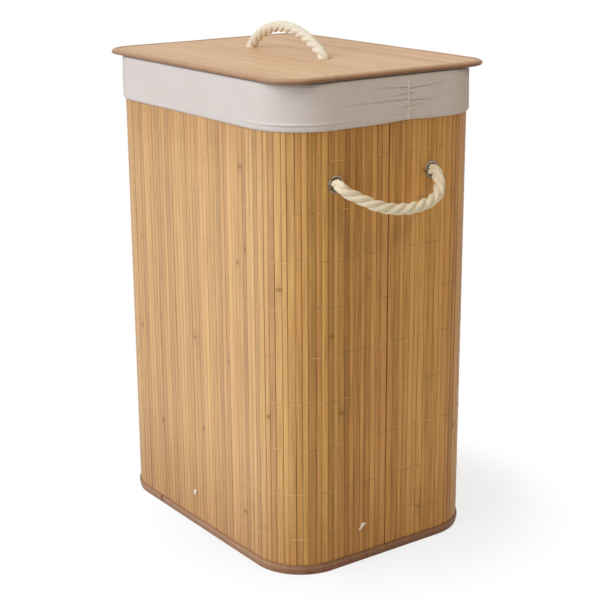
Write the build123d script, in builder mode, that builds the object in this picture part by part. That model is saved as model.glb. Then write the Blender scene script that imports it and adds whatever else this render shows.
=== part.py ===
"""Laundry hamper: a basket of upright bamboo slats, a lift-out cloth liner,
rope handles and a loose slatted lid. Millimetres, +Z up, origin on the floor
under the middle of the basket, wide front face towards -Y.
"""

import os
from math import cos, radians, sin, tan

from build123d import *

os.makedirs("parts", exist_ok=True)

# Basket
BASKET_WIDTH = 400.0  # over the slats, along X
BASKET_DEPTH = 300.0  # over the slats, along Y
RIM_HEIGHT = 591.6  # floor to the top of the rim binding
CORNER_RADIUS = 65.0  # over the slats
SLAT_THICKNESS = 1.6
SLAT_PITCH = 7.8  # mean distance from slat to slat
SLAT_GAP = 0.7
SLAT_CHAMFER = 0.5
SLAT_VARIATION = 0.22  # share by which split slats differ from the mean pitch
SLAT_SEQUENCE = 2.4  # radians from one slat's variation to the next
CURTAIN_JOINT_GAP = 3.0  # where the two ends of the curtain meet
CURTAIN_JOINT_Y = -3.0  # place of that joint on the right face
BACKING_THICKNESS = 1.0
BINDING_THICKNESS = 0.8
BINDING_CLEARANCE = 0.15  # from the slats' faces
BOTTOM_BINDING_HEIGHT = 12.0
RIM_BINDING_HEIGHT = 16.0

# Wire hoops, base board and ties
WIRE_DIAMETER = 4.0
WIRE_SIDES = 12
WIRE_CLEARANCE = 0.05
BASE_HOOP_HEIGHT = 46.0  # floor to the wire's axis
BASE_BOARD_THICKNESS = 4.0
BASE_BOARD_CLEARANCE = 0.4
TIE_WIDTH = 3.0
TIE_THICKNESS = 1.2
TIE_CLEARANCE = 0.2
FRONT_TIE_X = -8.0
SIDE_TIE_Y = -42.0

# Ropes and eyelets
ROPE_DIAMETER = 14.0
ROPE_CLEARANCE = 0.3
KNOT_STEP = 9.0  # how far a stopper knot stands out round its rope
KNOT_LENGTH = 26.0
KNOT_SHOULDER = 6.0
KNOT_BELLY = 9.0
EYELET_HEIGHT = 478.0
EYELET_SPACING = 142.0
HANDLE_CENTRE_Y = -10.0
EYELET_WALL = 0.8
EYELET_FLANGE_WIDTH = 2.4  # round the barrel
EYELET_FLANGE_THICKNESS = 1.0
EYELET_FLANGE_CHAMFER = 0.6
EYELET_HOLE_CLEARANCE = 0.2
EYELET_SEAT = 0.15  # from the slats' faces
WASHER_THICKNESS = 0.8
HANDLE_TILT = 40.0  # degrees that the side loops stand out from the wall

# Side loop: points (share of the way from the handle's centre to an eyelet, distance from the hinge axis)
SIDE_LOOP = [(-1, 0), (-70 / 71, 11.5), (-60 / 71, 22), (-44 / 71, 31.5), (-22 / 71, 39.5), (6 / 71, 44.5),
             (32 / 71, 43.5), (52 / 71, 38), (64 / 71, 27.5), (69 / 71, 14), (1, 0)]
SIDE_ROUTE = [(share * EYELET_SPACING / 2, away) for share, away in SIDE_LOOP]

# Liner
LINER_THICKNESS = 1.2
LINER_CLEARANCE = 0.4  # to the rim binding, all round
LINER_SEAT = 0.2  # over the rim and over the base board
CUFF_HEIGHT = 52.0
HEM_HEIGHT = 13.0
HEM_EXTRA = 0.6
BAG_KNOT_CLEARANCE = 1.5
BAG_TAPER_HEIGHT = 66.0

# Lid
LID_OVERHANG = 1.4  # past the cuff, all round
LID_CORNER_RADIUS = 36.0
LID_SEAT = 0.2
LID_BOARD_THICKNESS = 3.0
LID_LINING_THICKNESS = 0.6
LID_SLAT_PITCH = 7.4
LID_BINDING_TOP = 8.0
LID_BINDING_UNDER = 10.0
LID_FIT = 0.1
LID_HANDLE_X = -15.0
LID_HANDLE_Y = 5.0
LID_HANDLE_SPACING = 160.0

# Lid arch: points (share of the way from the handle's centre to its foot, height over the hinge axis)
LID_ARCH = [(-1, 0), (-0.95, 9), (-0.775, 18), (-0.5, 25.5), (-0.15, 28), (0.2, 25), (0.525, 18.5),
            (0.8, 12), (0.9375, 7), (1, 0)]
LID_ROUTE = [(share * LID_HANDLE_SPACING / 2, rise) for share, rise in LID_ARCH]

# Insets from the outside of the slats towards the middle of the basket
BACKING_INSET = SLAT_THICKNESS
INSIDE_INSET = BACKING_INSET + BACKING_THICKNESS
HOOP_AXIS_INSET = INSIDE_INSET + WIRE_CLEARANCE + WIRE_DIAMETER / 2
HEM_INSET = HOOP_AXIS_INSET + WIRE_DIAMETER / 2 + WIRE_CLEARANCE
BAG_INSET = HEM_INSET + BINDING_THICKNESS + LINER_CLEARANCE
BINDING_INSET = -(BINDING_CLEARANCE + BINDING_THICKNESS)
CUFF_INSET = BINDING_INSET - LINER_CLEARANCE

# Heights
SLAT_BOTTOM = BINDING_THICKNESS
SLAT_TOP = RIM_HEIGHT - BINDING_THICKNESS
RIM_HOOP_HEIGHT = SLAT_TOP - WIRE_CLEARANCE - WIRE_DIAMETER / 2
BASE_BOARD_BOTTOM = BASE_HOOP_HEIGHT + WIRE_DIAMETER / 2
BASE_BOARD_TOP = BASE_BOARD_BOTTOM + BASE_BOARD_THICKNESS
FOLD_BOTTOM = RIM_HEIGHT + LINER_SEAT
FOLD_TOP = FOLD_BOTTOM + LINER_THICKNESS
CUFF_BOTTOM = FOLD_TOP - CUFF_HEIGHT
BAG_BOTTOM = BASE_BOARD_TOP + LINER_SEAT
LID_BOTTOM = FOLD_TOP + LID_SEAT
LID_LINING_BOTTOM = LID_BOTTOM + BINDING_THICKNESS
LID_BOARD_BOTTOM = LID_LINING_BOTTOM + LID_LINING_THICKNESS
LID_SLAT_BOTTOM = LID_BOARD_BOTTOM + LID_BOARD_THICKNESS
LID_SLAT_TOP = LID_SLAT_BOTTOM + SLAT_THICKNESS
LID_TOP = LID_SLAT_TOP + BINDING_THICKNESS

# Ropes: the hinge axes lie one rope radius and a clearance off the face they come out of
ROPE_RADIUS = ROPE_DIAMETER / 2
EYELET_FACE = BASKET_WIDTH / 2 + EYELET_SEAT + EYELET_FLANGE_THICKNESS
HANDLE_AXIS_X = EYELET_FACE + ROPE_CLEARANCE + ROPE_RADIUS
LID_AXIS_HEIGHT = LID_SLAT_TOP + ROPE_CLEARANCE + ROPE_RADIUS
EYELET_BORE_RADIUS = ROPE_RADIUS + ROPE_CLEARANCE
EYELET_BARREL_RADIUS = EYELET_BORE_RADIUS + EYELET_WALL
EYELET_HOLE_RADIUS = EYELET_BARREL_RADIUS + EYELET_HOLE_CLEARANCE
EYELET_FLANGE_RADIUS = EYELET_BARREL_RADIUS + EYELET_FLANGE_WIDTH
KNOT_RADIUS = ROPE_RADIUS + KNOT_STEP
WASHER_INSET = INSIDE_INSET + WASHER_THICKNESS
KNOT_FACE = BASKET_WIDTH / 2 - WASHER_INSET - ROPE_CLEARANCE
KNOT_END = KNOT_FACE - KNOT_LENGTH

# Liner bag: narrower below the knots by the room that they need
BAG_NARROWING = BASKET_WIDTH / 2 - BAG_INSET - KNOT_END + BAG_KNOT_CLEARANCE
BAG_WALL_BOTTOM = BAG_BOTTOM + LINER_THICKNESS
TAPER_BOTTOM = EYELET_HEIGHT + KNOT_RADIUS + BAG_KNOT_CLEARANCE
TAPER_TOP = TAPER_BOTTOM + BAG_TAPER_HEIGHT

# Lid's layers inside its binding
LID_CORE_INSET = BINDING_THICKNESS + LID_FIT

# Planes that look outwards through each wall from the middle of the basket
WALL_PLANES = {
    "front": Plane((0, 0, 0), x_dir=(1, 0, 0), z_dir=(0, -1, 0)),
    "back": Plane((0, 0, 0), x_dir=(-1, 0, 0), z_dir=(0, 1, 0)),
    "right": Plane((0, 0, 0), x_dir=(0, 1, 0), z_dir=(1, 0, 0)),
    "left": Plane((0, 0, 0), x_dir=(0, -1, 0), z_dir=(-1, 0, 0)),
}
WALL_REACH = {
    "front": BASKET_DEPTH / 2,
    "back": BASKET_DEPTH / 2,
    "right": BASKET_WIDTH / 2,
    "left": BASKET_WIDTH / 2,
}
HANDLE_CENTRES = {"right": HANDLE_CENTRE_Y, "left": -HANDLE_CENTRE_Y}


def save(builder, name):
    """Label a finished piece and write it to its own file."""
    builder.part.label = name
    export_step(builder.part, f"parts/{name}.step")


def outline(inset, height):
    """Basket's rounded outline, moved in by an inset, at a height."""
    with BuildSketch(Plane.XY.offset(height)) as section:
        RectangleRounded(
            BASKET_WIDTH - 2 * inset, BASKET_DEPTH - 2 * inset, CORNER_RADIUS - inset
        )
    return section.sketch


def lid_outline(inset, height):
    """Lid's rounded outline, moved in by an inset, at a height."""
    reach = LID_OVERHANG + LINER_THICKNESS - CUFF_INSET
    with BuildSketch(Plane.XY.offset(height)) as section:
        RectangleRounded(
            BASKET_WIDTH + 2 * (reach - inset),
            BASKET_DEPTH + 2 * (reach - inset),
            LID_CORNER_RADIUS - inset,
        )
    return section.sketch


def bag_outline(inset, narrowing, height):
    """Liner bag's outline, narrowed along X by the room that the knots need."""
    with BuildSketch(Plane.XY.offset(height)) as section:
        RectangleRounded(
            BASKET_WIDTH - 2 * (BAG_INSET + inset + narrowing),
            BASKET_DEPTH - 2 * (BAG_INSET + inset),
            CORNER_RADIUS - BAG_INSET - inset,
        )
    return section.sketch


def slat_points(width):
    """Corners of a slat's section: back on the local X axis, chamfered face towards -Y."""
    half = width / 2
    face = SLAT_THICKNESS
    return [
        (-half, 0),
        (half, 0),
        (half, SLAT_CHAMFER - face),
        (half - SLAT_CHAMFER, -face),
        (SLAT_CHAMFER - half, -face),
        (-half, SLAT_CHAMFER - face),
    ]


def slat_places():
    """Place, turn and width of every slat round the curtain, from its joint to its joint."""
    half_x = BASKET_WIDTH / 2 - BACKING_INSET
    half_y = BASKET_DEPTH / 2 - BACKING_INSET
    with BuildLine() as curtain:
        FilletPolyline(
            (half_x, CURTAIN_JOINT_Y + CURTAIN_JOINT_GAP / 2),
            (half_x, half_y),
            (-half_x, half_y),
            (-half_x, -half_y),
            (half_x, -half_y),
            (half_x, CURTAIN_JOINT_Y - CURTAIN_JOINT_GAP / 2),
            radius=CORNER_RADIUS - BACKING_INSET,
        )
    path = curtain.wire()
    count = round(path.length / SLAT_PITCH)
    shares = [1 + SLAT_VARIATION * sin(SLAT_SEQUENCE * index) for index in range(count)]
    scale = path.length / sum(shares)
    place = 0
    for share in shares:
        step = share * scale
        middle = place + step / 2
        point = path.position_at(middle, position_mode=PositionMode.LENGTH)
        along = path.tangent_at(middle / path.length)
        turn = Vector(1, 0, 0).get_signed_angle(along, Vector(0, 0, 1))
        yield point, along, turn, step - SLAT_GAP
        place += step


def wall_name(along):
    """Name of the wall or corner that a slat with this direction stands on."""
    out_x = round(along.Y, 6)
    out_y = round(-along.X, 6)
    side_x = "right" if out_x > 0 else "left"
    side_y = "back" if out_y > 0 else "front"
    if abs(out_x) == 1:
        return side_x
    if abs(out_y) == 1:
        return side_y
    return f"{side_y}_{side_x}_corner"


def eyelet_openings(wall, radius):
    """Round holes for a wall's eyelets, as a tool that goes out through the wall."""
    with BuildSketch(WALL_PLANES[wall]) as holes:
        with Locations((HANDLE_CENTRES[wall], EYELET_HEIGHT)):
            with GridLocations(EYELET_SPACING, 0, 2, 1):
                Circle(radius)
    return holes.sketch


def tie_place(wall, wanted):
    """Middle of the slat nearest to the place wanted for a wall's tie."""
    plane = WALL_PLANES[wall]
    middles = [plane.to_local_coords(point).X for point, _, _ in slats_by_wall[wall]]
    return min(middles, key=lambda middle: abs(middle - wanted))


def tie_openings(wall):
    """Thread holes for a wall's tie, just over and just under the base hoop."""
    offset = WIRE_DIAMETER / 2 + TIE_CLEARANCE + TIE_THICKNESS / 2
    with BuildSketch(WALL_PLANES[wall]) as holes:
        with Locations((TIE_PLACES[wall], BASE_HOOP_HEIGHT)):
            with GridLocations(0, 2 * offset, 1, 2):
                Rectangle(TIE_WIDTH + 2 * TIE_CLEARANCE, TIE_THICKNESS + 2 * TIE_CLEARANCE)
    return holes.sketch


def cut_wall_openings(wall):
    """Cut the tie and eyelet holes of a wall out of the piece being built."""
    past_wall = WALL_REACH[wall] + SLAT_THICKNESS
    extrude(tie_openings(wall), amount=past_wall, mode=Mode.SUBTRACT)
    if wall in HANDLE_CENTRES:
        extrude(eyelet_openings(wall, EYELET_HOLE_RADIUS), amount=past_wall, mode=Mode.SUBTRACT)


def rope_path(points, plane):
    """Straight runs joined by tangent arcs, each arc as large as its two runs allow."""
    places = [plane.from_local_coords((u, v, 0)) for u, v in points]
    runs = [end - start for start, end in zip(places, places[1:])]
    radii = []
    for before, after in zip(runs, runs[1:]):
        half_turn = radians(before.get_angle(after)) / 2
        radii.append(0.45 * min(before.length, after.length) / tan(half_turn))
    with BuildLine() as path:
        FilletPolyline(*places, radius=radii)
    return path.wire()


def rope(points, plane):
    """Rope along a route in a plane, with round ends on the hinge axis."""
    path = rope_path(points, plane)
    with BuildPart() as strand:
        with BuildSketch(Plane(path @ 0, z_dir=path % 0)) as section:
            Circle(ROPE_RADIUS)
        sweep(section.sketch, path=path)
        with Locations(path @ 0, path @ 1):
            Sphere(ROPE_RADIUS)
    return strand


def knots(plane, centre_u, centre_v, spacing, face, seat):
    """Two stopper knots with the rope stubs that go out to a face along the plane's normal."""
    with BuildPart() as knot:
        with BuildSketch(Plane.XZ) as half:
            Rectangle(ROPE_RADIUS, face - seat, align=(Align.MIN, Align.MIN))
            with Locations((0, -KNOT_LENGTH)):
                Rectangle(KNOT_RADIUS, KNOT_LENGTH, align=(Align.MIN, Align.MIN))
            outer = half.vertices().group_by(Axis.X)[-1].sort_by(Axis.Y)
            chamfer(outer[-1], KNOT_SHOULDER)
            chamfer(half.vertices().sort_by(Axis.Y)[:2].sort_by(Axis.X)[-1], KNOT_BELLY)
        revolve(axis=Axis.Z)
    with BuildPart() as pair:
        for side in (-0.5, 0.5):
            place = plane.from_local_coords((centre_u + side * spacing, centre_v, seat))
            foot = Plane(place, x_dir=plane.x_dir, z_dir=plane.z_dir)
            add(foot.location * knot.part)
    return pair


def cut_rope_holes():
    """Cut the two rope holes through the lid layer being built."""
    with BuildSketch(Plane.XY.offset(LID_BOTTOM)) as holes:
        with Locations((LID_HANDLE_X, LID_HANDLE_Y)):
            with GridLocations(LID_HANDLE_SPACING, 0, 2, 1):
                Circle(EYELET_BORE_RADIUS)
    extrude(holes.sketch, amount=LID_TOP - LID_BOTTOM, mode=Mode.SUBTRACT)


# Slats, wall by wall and corner by corner
slats_by_wall = {}
for point, along, turn, width in slat_places():
    slats_by_wall.setdefault(wall_name(along), []).append((point, turn, width))
TIE_PLACES = {
    "front": tie_place("front", FRONT_TIE_X),
    "back": tie_place("back", -FRONT_TIE_X),
    "right": tie_place("right", SIDE_TIE_Y),
    "left": tie_place("left", -SIDE_TIE_Y),
}

for wall, slats in slats_by_wall.items():
    with BuildPart() as slat_wall:
        with BuildSketch(Plane.XY.offset(SLAT_BOTTOM)):
            for point, turn, width in slats:
                with Locations(Location((point.X, point.Y, 0), (0, 0, turn))):
                    Polygon(*slat_points(width), align=None)
        extrude(amount=SLAT_TOP - SLAT_BOTTOM)
        for side in wall.removesuffix("_corner").split("_"):
            cut_wall_openings(side)
    save(slat_wall, f"{wall}_slats")

# Backing cloth behind the slats
with BuildPart() as backing:
    extrude(outline(BACKING_INSET, SLAT_BOTTOM), amount=SLAT_TOP - SLAT_BOTTOM)
    extrude(
        outline(INSIDE_INSET, SLAT_BOTTOM), amount=SLAT_TOP - SLAT_BOTTOM, mode=Mode.SUBTRACT
    )
    for wall in WALL_PLANES:
        cut_wall_openings(wall)
save(backing, "curtain_backing")

# Binding folded over the lower edge of the slats and backing
with BuildPart() as bottom_binding:
    extrude(outline(BINDING_INSET, 0), amount=BOTTOM_BINDING_HEIGHT)
    extrude(
        outline(INSIDE_INSET + BINDING_THICKNESS, 0), amount=BOTTOM_BINDING_HEIGHT, mode=Mode.SUBTRACT
    )
    with BuildSketch(Plane.XY.offset(BINDING_THICKNESS)):
        add(outline(-BINDING_CLEARANCE, BINDING_THICKNESS))
        add(outline(INSIDE_INSET, BINDING_THICKNESS), mode=Mode.SUBTRACT)
    extrude(amount=BOTTOM_BINDING_HEIGHT, mode=Mode.SUBTRACT)
save(bottom_binding, "bottom_binding")

# Binding folded over the top edge and the rim hoop
with BuildPart() as rim_binding:
    lower_edge = RIM_HEIGHT - RIM_BINDING_HEIGHT
    extrude(outline(BINDING_INSET, lower_edge), amount=RIM_BINDING_HEIGHT)
    extrude(
        outline(HEM_INSET + BINDING_THICKNESS, lower_edge), amount=RIM_BINDING_HEIGHT, mode=Mode.SUBTRACT
    )
    with BuildSketch(Plane.XY.offset(lower_edge)):
        add(outline(-BINDING_CLEARANCE, lower_edge))
        add(outline(HEM_INSET, lower_edge), mode=Mode.SUBTRACT)
    extrude(amount=RIM_BINDING_HEIGHT - BINDING_THICKNESS, mode=Mode.SUBTRACT)
save(rim_binding, "rim_binding")

# Wire hoops inside the rim and at the base
for name, height in (("rim_hoop", RIM_HOOP_HEIGHT), ("base_hoop", BASE_HOOP_HEIGHT)):
    with BuildPart() as hoop:
        path = outline(HOOP_AXIS_INSET, height).wire()
        with BuildSketch(Plane(path @ 0, z_dir=path % 0)):
            RegularPolygon(WIRE_DIAMETER / 2, WIRE_SIDES)
        sweep(path=path)
    save(hoop, name)

# Base board, notched where the ties go round the hoop
with BuildPart() as base_board:
    extrude(outline(INSIDE_INSET + BASE_BOARD_CLEARANCE, BASE_BOARD_BOTTOM), amount=BASE_BOARD_THICKNESS)
    notch_depth = HEM_INSET + TIE_THICKNESS + 2 * TIE_CLEARANCE
    for wall, plane in WALL_PLANES.items():
        with BuildSketch(plane.offset(WALL_REACH[wall] - notch_depth)):
            with Locations((TIE_PLACES[wall], BASE_BOARD_BOTTOM)):
                Rectangle(TIE_WIDTH + 2 * TIE_CLEARANCE, 2 * BASE_BOARD_THICKNESS + TIE_CLEARANCE)
        extrude(amount=notch_depth, mode=Mode.SUBTRACT)
save(base_board, "base_board")

# Thread ties that hold the base hoop to the wall
with BuildPart() as base_ties:
    inner_height = WIRE_DIAMETER + 2 * TIE_CLEARANCE
    inner_width = HEM_INSET + 2 * TIE_CLEARANCE
    for wall, plane in WALL_PLANES.items():
        middle = WALL_REACH[wall] - HEM_INSET / 2
        centre = plane.from_local_coords((TIE_PLACES[wall], BASE_HOOP_HEIGHT, middle))
        with BuildSketch(Plane(centre, x_dir=plane.z_dir, z_dir=plane.x_dir)):
            RectangleRounded(
                inner_width + 2 * TIE_THICKNESS, inner_height + 2 * TIE_THICKNESS, TIE_THICKNESS
            )
            Rectangle(inner_width, inner_height, mode=Mode.SUBTRACT)
        extrude(amount=TIE_WIDTH / 2, both=True)
save(base_ties, "base_ties")

# Eyelets, washers, knots and rope loops of the two side handles
for wall, centre in HANDLE_CENTRES.items():
    plane = WALL_PLANES[wall]
    reach = WALL_REACH[wall]

    with BuildPart() as eyelets:
        extrude(
            eyelet_openings(wall, EYELET_FLANGE_RADIUS).moved(
                Location(plane.z_dir * (reach + EYELET_SEAT))
            ),
            amount=EYELET_FLANGE_THICKNESS,
        )
        rims = eyelets.edges().group_by(Axis(plane.origin, plane.z_dir))[-1]
        chamfer(rims, EYELET_FLANGE_CHAMFER)
        barrel = eyelet_openings(wall, EYELET_BARREL_RADIUS)
        extrude(
            barrel.moved(Location(plane.z_dir * (reach - WASHER_INSET))),
            amount=WASHER_INSET + EYELET_SEAT,
        )
        bore = eyelet_openings(wall, EYELET_BORE_RADIUS)
        extrude(bore, amount=EYELET_FACE, mode=Mode.SUBTRACT)
    save(eyelets, f"{wall}_eyelets")

    with BuildPart() as washers:
        seat = Location(plane.z_dir * (reach - WASHER_INSET))
        extrude(
            eyelet_openings(wall, EYELET_FLANGE_RADIUS).moved(seat), amount=WASHER_THICKNESS
        )
        extrude(
            eyelet_openings(wall, EYELET_HOLE_RADIUS).moved(seat),
            amount=WASHER_THICKNESS,
            mode=Mode.SUBTRACT,
        )
        extrude(outline(INSIDE_INSET, 0), amount=RIM_HEIGHT, mode=Mode.INTERSECT)
    save(washers, f"{wall}_eyelet_washers")

    stops = knots(plane, centre, EYELET_HEIGHT, EYELET_SPACING, EYELET_FACE, KNOT_FACE)
    save(stops, f"{wall}_rope_knots")

    tilt = radians(HANDLE_TILT)
    axis_point = plane.from_local_coords((centre, EYELET_HEIGHT, HANDLE_AXIS_X))
    hang = plane.z_dir * sin(tilt) - Vector(0, 0, cos(tilt))
    loop_plane = Plane(axis_point, x_dir=plane.x_dir, z_dir=plane.x_dir.cross(hang))
    loop = rope(SIDE_ROUTE, loop_plane)
    save(loop, f"{wall}_handle_rope")

# Liner: bag floor, bag walls and the cuff folded out over the rim
with BuildPart() as bag_floor:
    extrude(bag_outline(0, BAG_NARROWING, BAG_BOTTOM), amount=LINER_THICKNESS)
save(bag_floor, "liner_bag_floor")

with BuildPart() as bag_walls:
    for inset, mode in ((0, Mode.ADD), (LINER_THICKNESS, Mode.SUBTRACT)):
        lower = bag_outline(inset, BAG_NARROWING, BAG_WALL_BOTTOM)
        extrude(lower, amount=TAPER_BOTTOM - BAG_WALL_BOTTOM, mode=mode)
        loft(
            [bag_outline(inset, BAG_NARROWING, TAPER_BOTTOM), bag_outline(inset, 0, TAPER_TOP)],
            ruled=True,
            mode=mode,
        )
        extrude(bag_outline(inset, 0, TAPER_TOP), amount=FOLD_BOTTOM - TAPER_TOP, mode=mode)
save(bag_walls, "liner_bag_walls")

with BuildPart() as cuff:
    cuff_outside = CUFF_INSET - LINER_THICKNESS
    extrude(outline(cuff_outside, CUFF_BOTTOM), amount=CUFF_HEIGHT)
    extrude(outline(cuff_outside - HEM_EXTRA, CUFF_BOTTOM), amount=HEM_HEIGHT)
    extrude(outline(CUFF_INSET, CUFF_BOTTOM), amount=FOLD_BOTTOM - CUFF_BOTTOM, mode=Mode.SUBTRACT)
    extrude(
        bag_outline(LINER_THICKNESS, 0, FOLD_BOTTOM), amount=LINER_THICKNESS, mode=Mode.SUBTRACT
    )
save(cuff, "liner_cuff")

# Lid: lining, board and slats in a binding that goes round the edge
with BuildPart() as lid_binding:
    extrude(lid_outline(0, LID_BOTTOM), amount=LID_TOP - LID_BOTTOM)
    extrude(
        lid_outline(BINDING_THICKNESS, LID_LINING_BOTTOM),
        amount=LID_SLAT_TOP - LID_LINING_BOTTOM,
        mode=Mode.SUBTRACT,
    )
    extrude(
        lid_outline(LID_BINDING_TOP, LID_SLAT_TOP), amount=BINDING_THICKNESS, mode=Mode.SUBTRACT
    )
    extrude(
        lid_outline(LID_BINDING_UNDER, LID_BOTTOM), amount=BINDING_THICKNESS, mode=Mode.SUBTRACT
    )
save(lid_binding, "lid_binding")

with BuildPart() as lid_lining:
    extrude(lid_outline(LID_CORE_INSET, LID_LINING_BOTTOM), amount=LID_LINING_THICKNESS)
    cut_rope_holes()
save(lid_lining, "lid_lining")

with BuildPart() as lid_board:
    extrude(lid_outline(LID_CORE_INSET, LID_BOARD_BOTTOM), amount=LID_BOARD_THICKNESS)
    cut_rope_holes()
save(lid_board, "lid_board")

with BuildPart() as lid_slats:
    lid_slat_count = round(BASKET_DEPTH / LID_SLAT_PITCH)
    lid_slat_step = lid_outline(LID_CORE_INSET, 0).bounding_box().size.Y / lid_slat_count
    with BuildSketch(Plane((0, 0, LID_SLAT_BOTTOM), x_dir=(0, -1, 0), z_dir=(1, 0, 0))):
        with GridLocations(lid_slat_step, 0, lid_slat_count, 1):
            Polygon(*slat_points(lid_slat_step - SLAT_GAP), align=None)
    extrude(amount=BASKET_WIDTH, both=True)
    extrude(
        lid_outline(LID_CORE_INSET, LID_SLAT_BOTTOM), amount=SLAT_THICKNESS, mode=Mode.INTERSECT
    )
    cut_rope_holes()
save(lid_slats, "lid_slats")

lid_stops = knots(
    Plane.XY,
    LID_HANDLE_X,
    LID_HANDLE_Y,
    LID_HANDLE_SPACING,
    LID_SLAT_TOP,
    LID_LINING_BOTTOM - ROPE_CLEARANCE,
)
save(lid_stops, "lid_rope_knots")

arch_plane = Plane((LID_HANDLE_X, LID_HANDLE_Y, LID_AXIS_HEIGHT), x_dir=(1, 0, 0), z_dir=(0, -1, 0))
arch = rope(LID_ROUTE, arch_plane)
save(arch, "lid_handle_rope")
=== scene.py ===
"""Laundry hamper: a bamboo slat curtain with a cloth liner, rope handles and a loose lid.

Metres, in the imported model's frame: the floor is z = 0, the wide front face looks towards
-Y and the two handle faces look towards +X and -X.
"""

import logging
import math
from collections.abc import Callable
from dataclasses import dataclass
from enum import Enum
from functools import cached_property

import bpy
import numpy as np
from mathutils import Matrix, Vector


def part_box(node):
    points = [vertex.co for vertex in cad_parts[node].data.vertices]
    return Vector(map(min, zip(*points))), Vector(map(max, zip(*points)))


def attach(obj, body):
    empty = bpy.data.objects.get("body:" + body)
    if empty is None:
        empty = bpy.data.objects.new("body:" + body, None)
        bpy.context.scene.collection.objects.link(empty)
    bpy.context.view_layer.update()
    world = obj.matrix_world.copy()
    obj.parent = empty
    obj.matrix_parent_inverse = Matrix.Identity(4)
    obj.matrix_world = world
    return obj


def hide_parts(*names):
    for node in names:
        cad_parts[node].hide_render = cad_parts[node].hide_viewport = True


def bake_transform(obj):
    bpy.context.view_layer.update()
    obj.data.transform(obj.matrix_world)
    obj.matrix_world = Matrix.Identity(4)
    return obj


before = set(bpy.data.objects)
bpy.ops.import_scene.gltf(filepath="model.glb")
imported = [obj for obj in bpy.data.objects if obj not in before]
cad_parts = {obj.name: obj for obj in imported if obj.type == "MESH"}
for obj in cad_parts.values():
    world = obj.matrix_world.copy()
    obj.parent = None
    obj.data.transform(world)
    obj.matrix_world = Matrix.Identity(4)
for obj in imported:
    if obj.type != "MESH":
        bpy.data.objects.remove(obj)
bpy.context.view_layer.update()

LOG = logging.getLogger("hamper")
MM = 0.001
FULL_TURN = 2.0 * math.pi
UP = np.array([0.0, 0.0, 1.0])
WHITE = (1.0, 1.0, 1.0, 1.0)

# Sizes that several sub-assemblies share
SLAT_THICKNESS = 1.6 * MM
EYELET_HEIGHT = 478.0 * MM
EYELET_PLACES = np.array([-81.0, 61.0]) * MM
LID_HOLES = np.array([-95.0, 65.0]) * MM
LID_HOLE_Y = 5.0 * MM
FIRST_ROW = 47.2 * MM
ROW_STEP = 57.1 * MM

# Ropes: hinge axes, ends inside, stopper knots, and where the bend into a handle starts and ends
SIDE_HINGE_X = 208.45 * MM
SIDE_END_X = 190.0 * MM
SIDE_KNOT_X = 183.3 * MM
SIDE_BEND_X = (201.0 * MM, 214.0 * MM)
SIDE_TILT = math.radians(40.0)
LID_HINGE_HEIGHT = 606.5 * MM
LID_END_HEIGHT = 586.0 * MM
LID_KNOT_HEIGHT = 580.7 * MM
LID_BEND_HEIGHTS = (599.0 * MM, 612.0 * MM)

# A strand's way out from the rope's middle and its radius, in rope diameters
STRAND_OUT = 0.245
STRAND_RADIUS = 0.255

# Straight runs and bends of the curtain, as they are walked
WALLS = (
    ("right", "back_right_corner", "back", "back_left_corner")
    + ("left", "front_left_corner", "front", "front_right_corner")
)

# Places along a stitch, from end to end, and the thread's thickness there
STITCH = np.array([-1.0, -0.6, 0.0, 0.6, 1.0])
STITCH_SIZE = np.array([0.5, 1.0, 1.0, 1.0, 0.5])

Array = np.ndarray
Levels = tuple[int, int, int]
Colour = tuple[float, float, float, float]
Point = tuple[float, float, float]


class Body(Enum):
    """Moving bodies that pieces ride on."""

    BASKET = "basket"
    LINER = "liner"
    LID = "lid"
    LID_HANDLE = "lid_handle"
    RIGHT_HANDLE = "right_handle"
    LEFT_HANDLE = "left_handle"


class Slot(Enum):
    """Material slots of the record."""

    BAMBOO = "bamboo"
    LID_BAMBOO = "lid_bamboo"
    BACKING = "backing_cloth"
    BINDING = "brown_binding"
    LINER = "liner_cloth"
    ROPE = "cotton_rope"
    THREAD = "white_thread"
    EYELET = "eyelet_metal"


def screen(levels: Levels) -> Colour:
    """Turn screen levels into a linear colour.

    Args:
        levels: Red, green and blue, from 0 to 255.

    Returns:
        Linear red, green, blue and an alpha of 1.
    """
    level = np.array(levels) / 255.0
    linear = np.where(level <= 0.04045, level / 12.92, ((level + 0.055) / 1.055) ** 2.4)
    return (*linear.tolist(), 1.0)


class Value:
    """A node's output that takes part in shader arithmetic."""

    def __init__(self, graph: "Graph", socket: bpy.types.NodeSocket) -> None:
        """Keep the socket and the graph that it belongs to."""
        self.graph, self.socket = graph, socket

    def _math(self, operation: str, left: "Value | float", right: "Value | float" = 0.0) -> "Value":
        """Result of a Math node."""
        return self.graph.add("Math", {0: left, 1: right}, operation=operation)

    def __add__(self, other: "Value | float") -> "Value":
        """Sum."""
        return self._math("ADD", self, other)

    def __sub__(self, other: "Value | float") -> "Value":
        """Difference."""
        return self._math("SUBTRACT", self, other)

    def __rsub__(self, other: float) -> "Value":
        """Difference, number first."""
        return self._math("SUBTRACT", other, self)

    def __mul__(self, other: "Value | float") -> "Value":
        """Product."""
        return self._math("MULTIPLY", self, other)

    def __pow__(self, other: float) -> "Value":
        """Power."""
        return self._math("POWER", self, other)

    def __abs__(self) -> "Value":
        """Distance from zero."""
        return self._math("ABSOLUTE", self)

    __radd__, __rmul__ = __add__, __mul__

    def wave(self) -> "Value":
        """Sine of the value in turns, from -1 to 1."""
        return self._math("SINE", self * FULL_TURN)

    def part(self) -> "Value":
        """What is left over after the whole number."""
        return self._math("FRACT", self)

    def step(self, low: float, high: float) -> "Value":
        """Smooth step, from 0 at the low value to 1 at the high one."""
        sockets = {"Value": self, "From Min": low, "From Max": high, "To Min": 0.0, "To Max": 1.0}
        return self.graph.add("MapRange", sockets, interpolation_type="SMOOTHSTEP")


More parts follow.
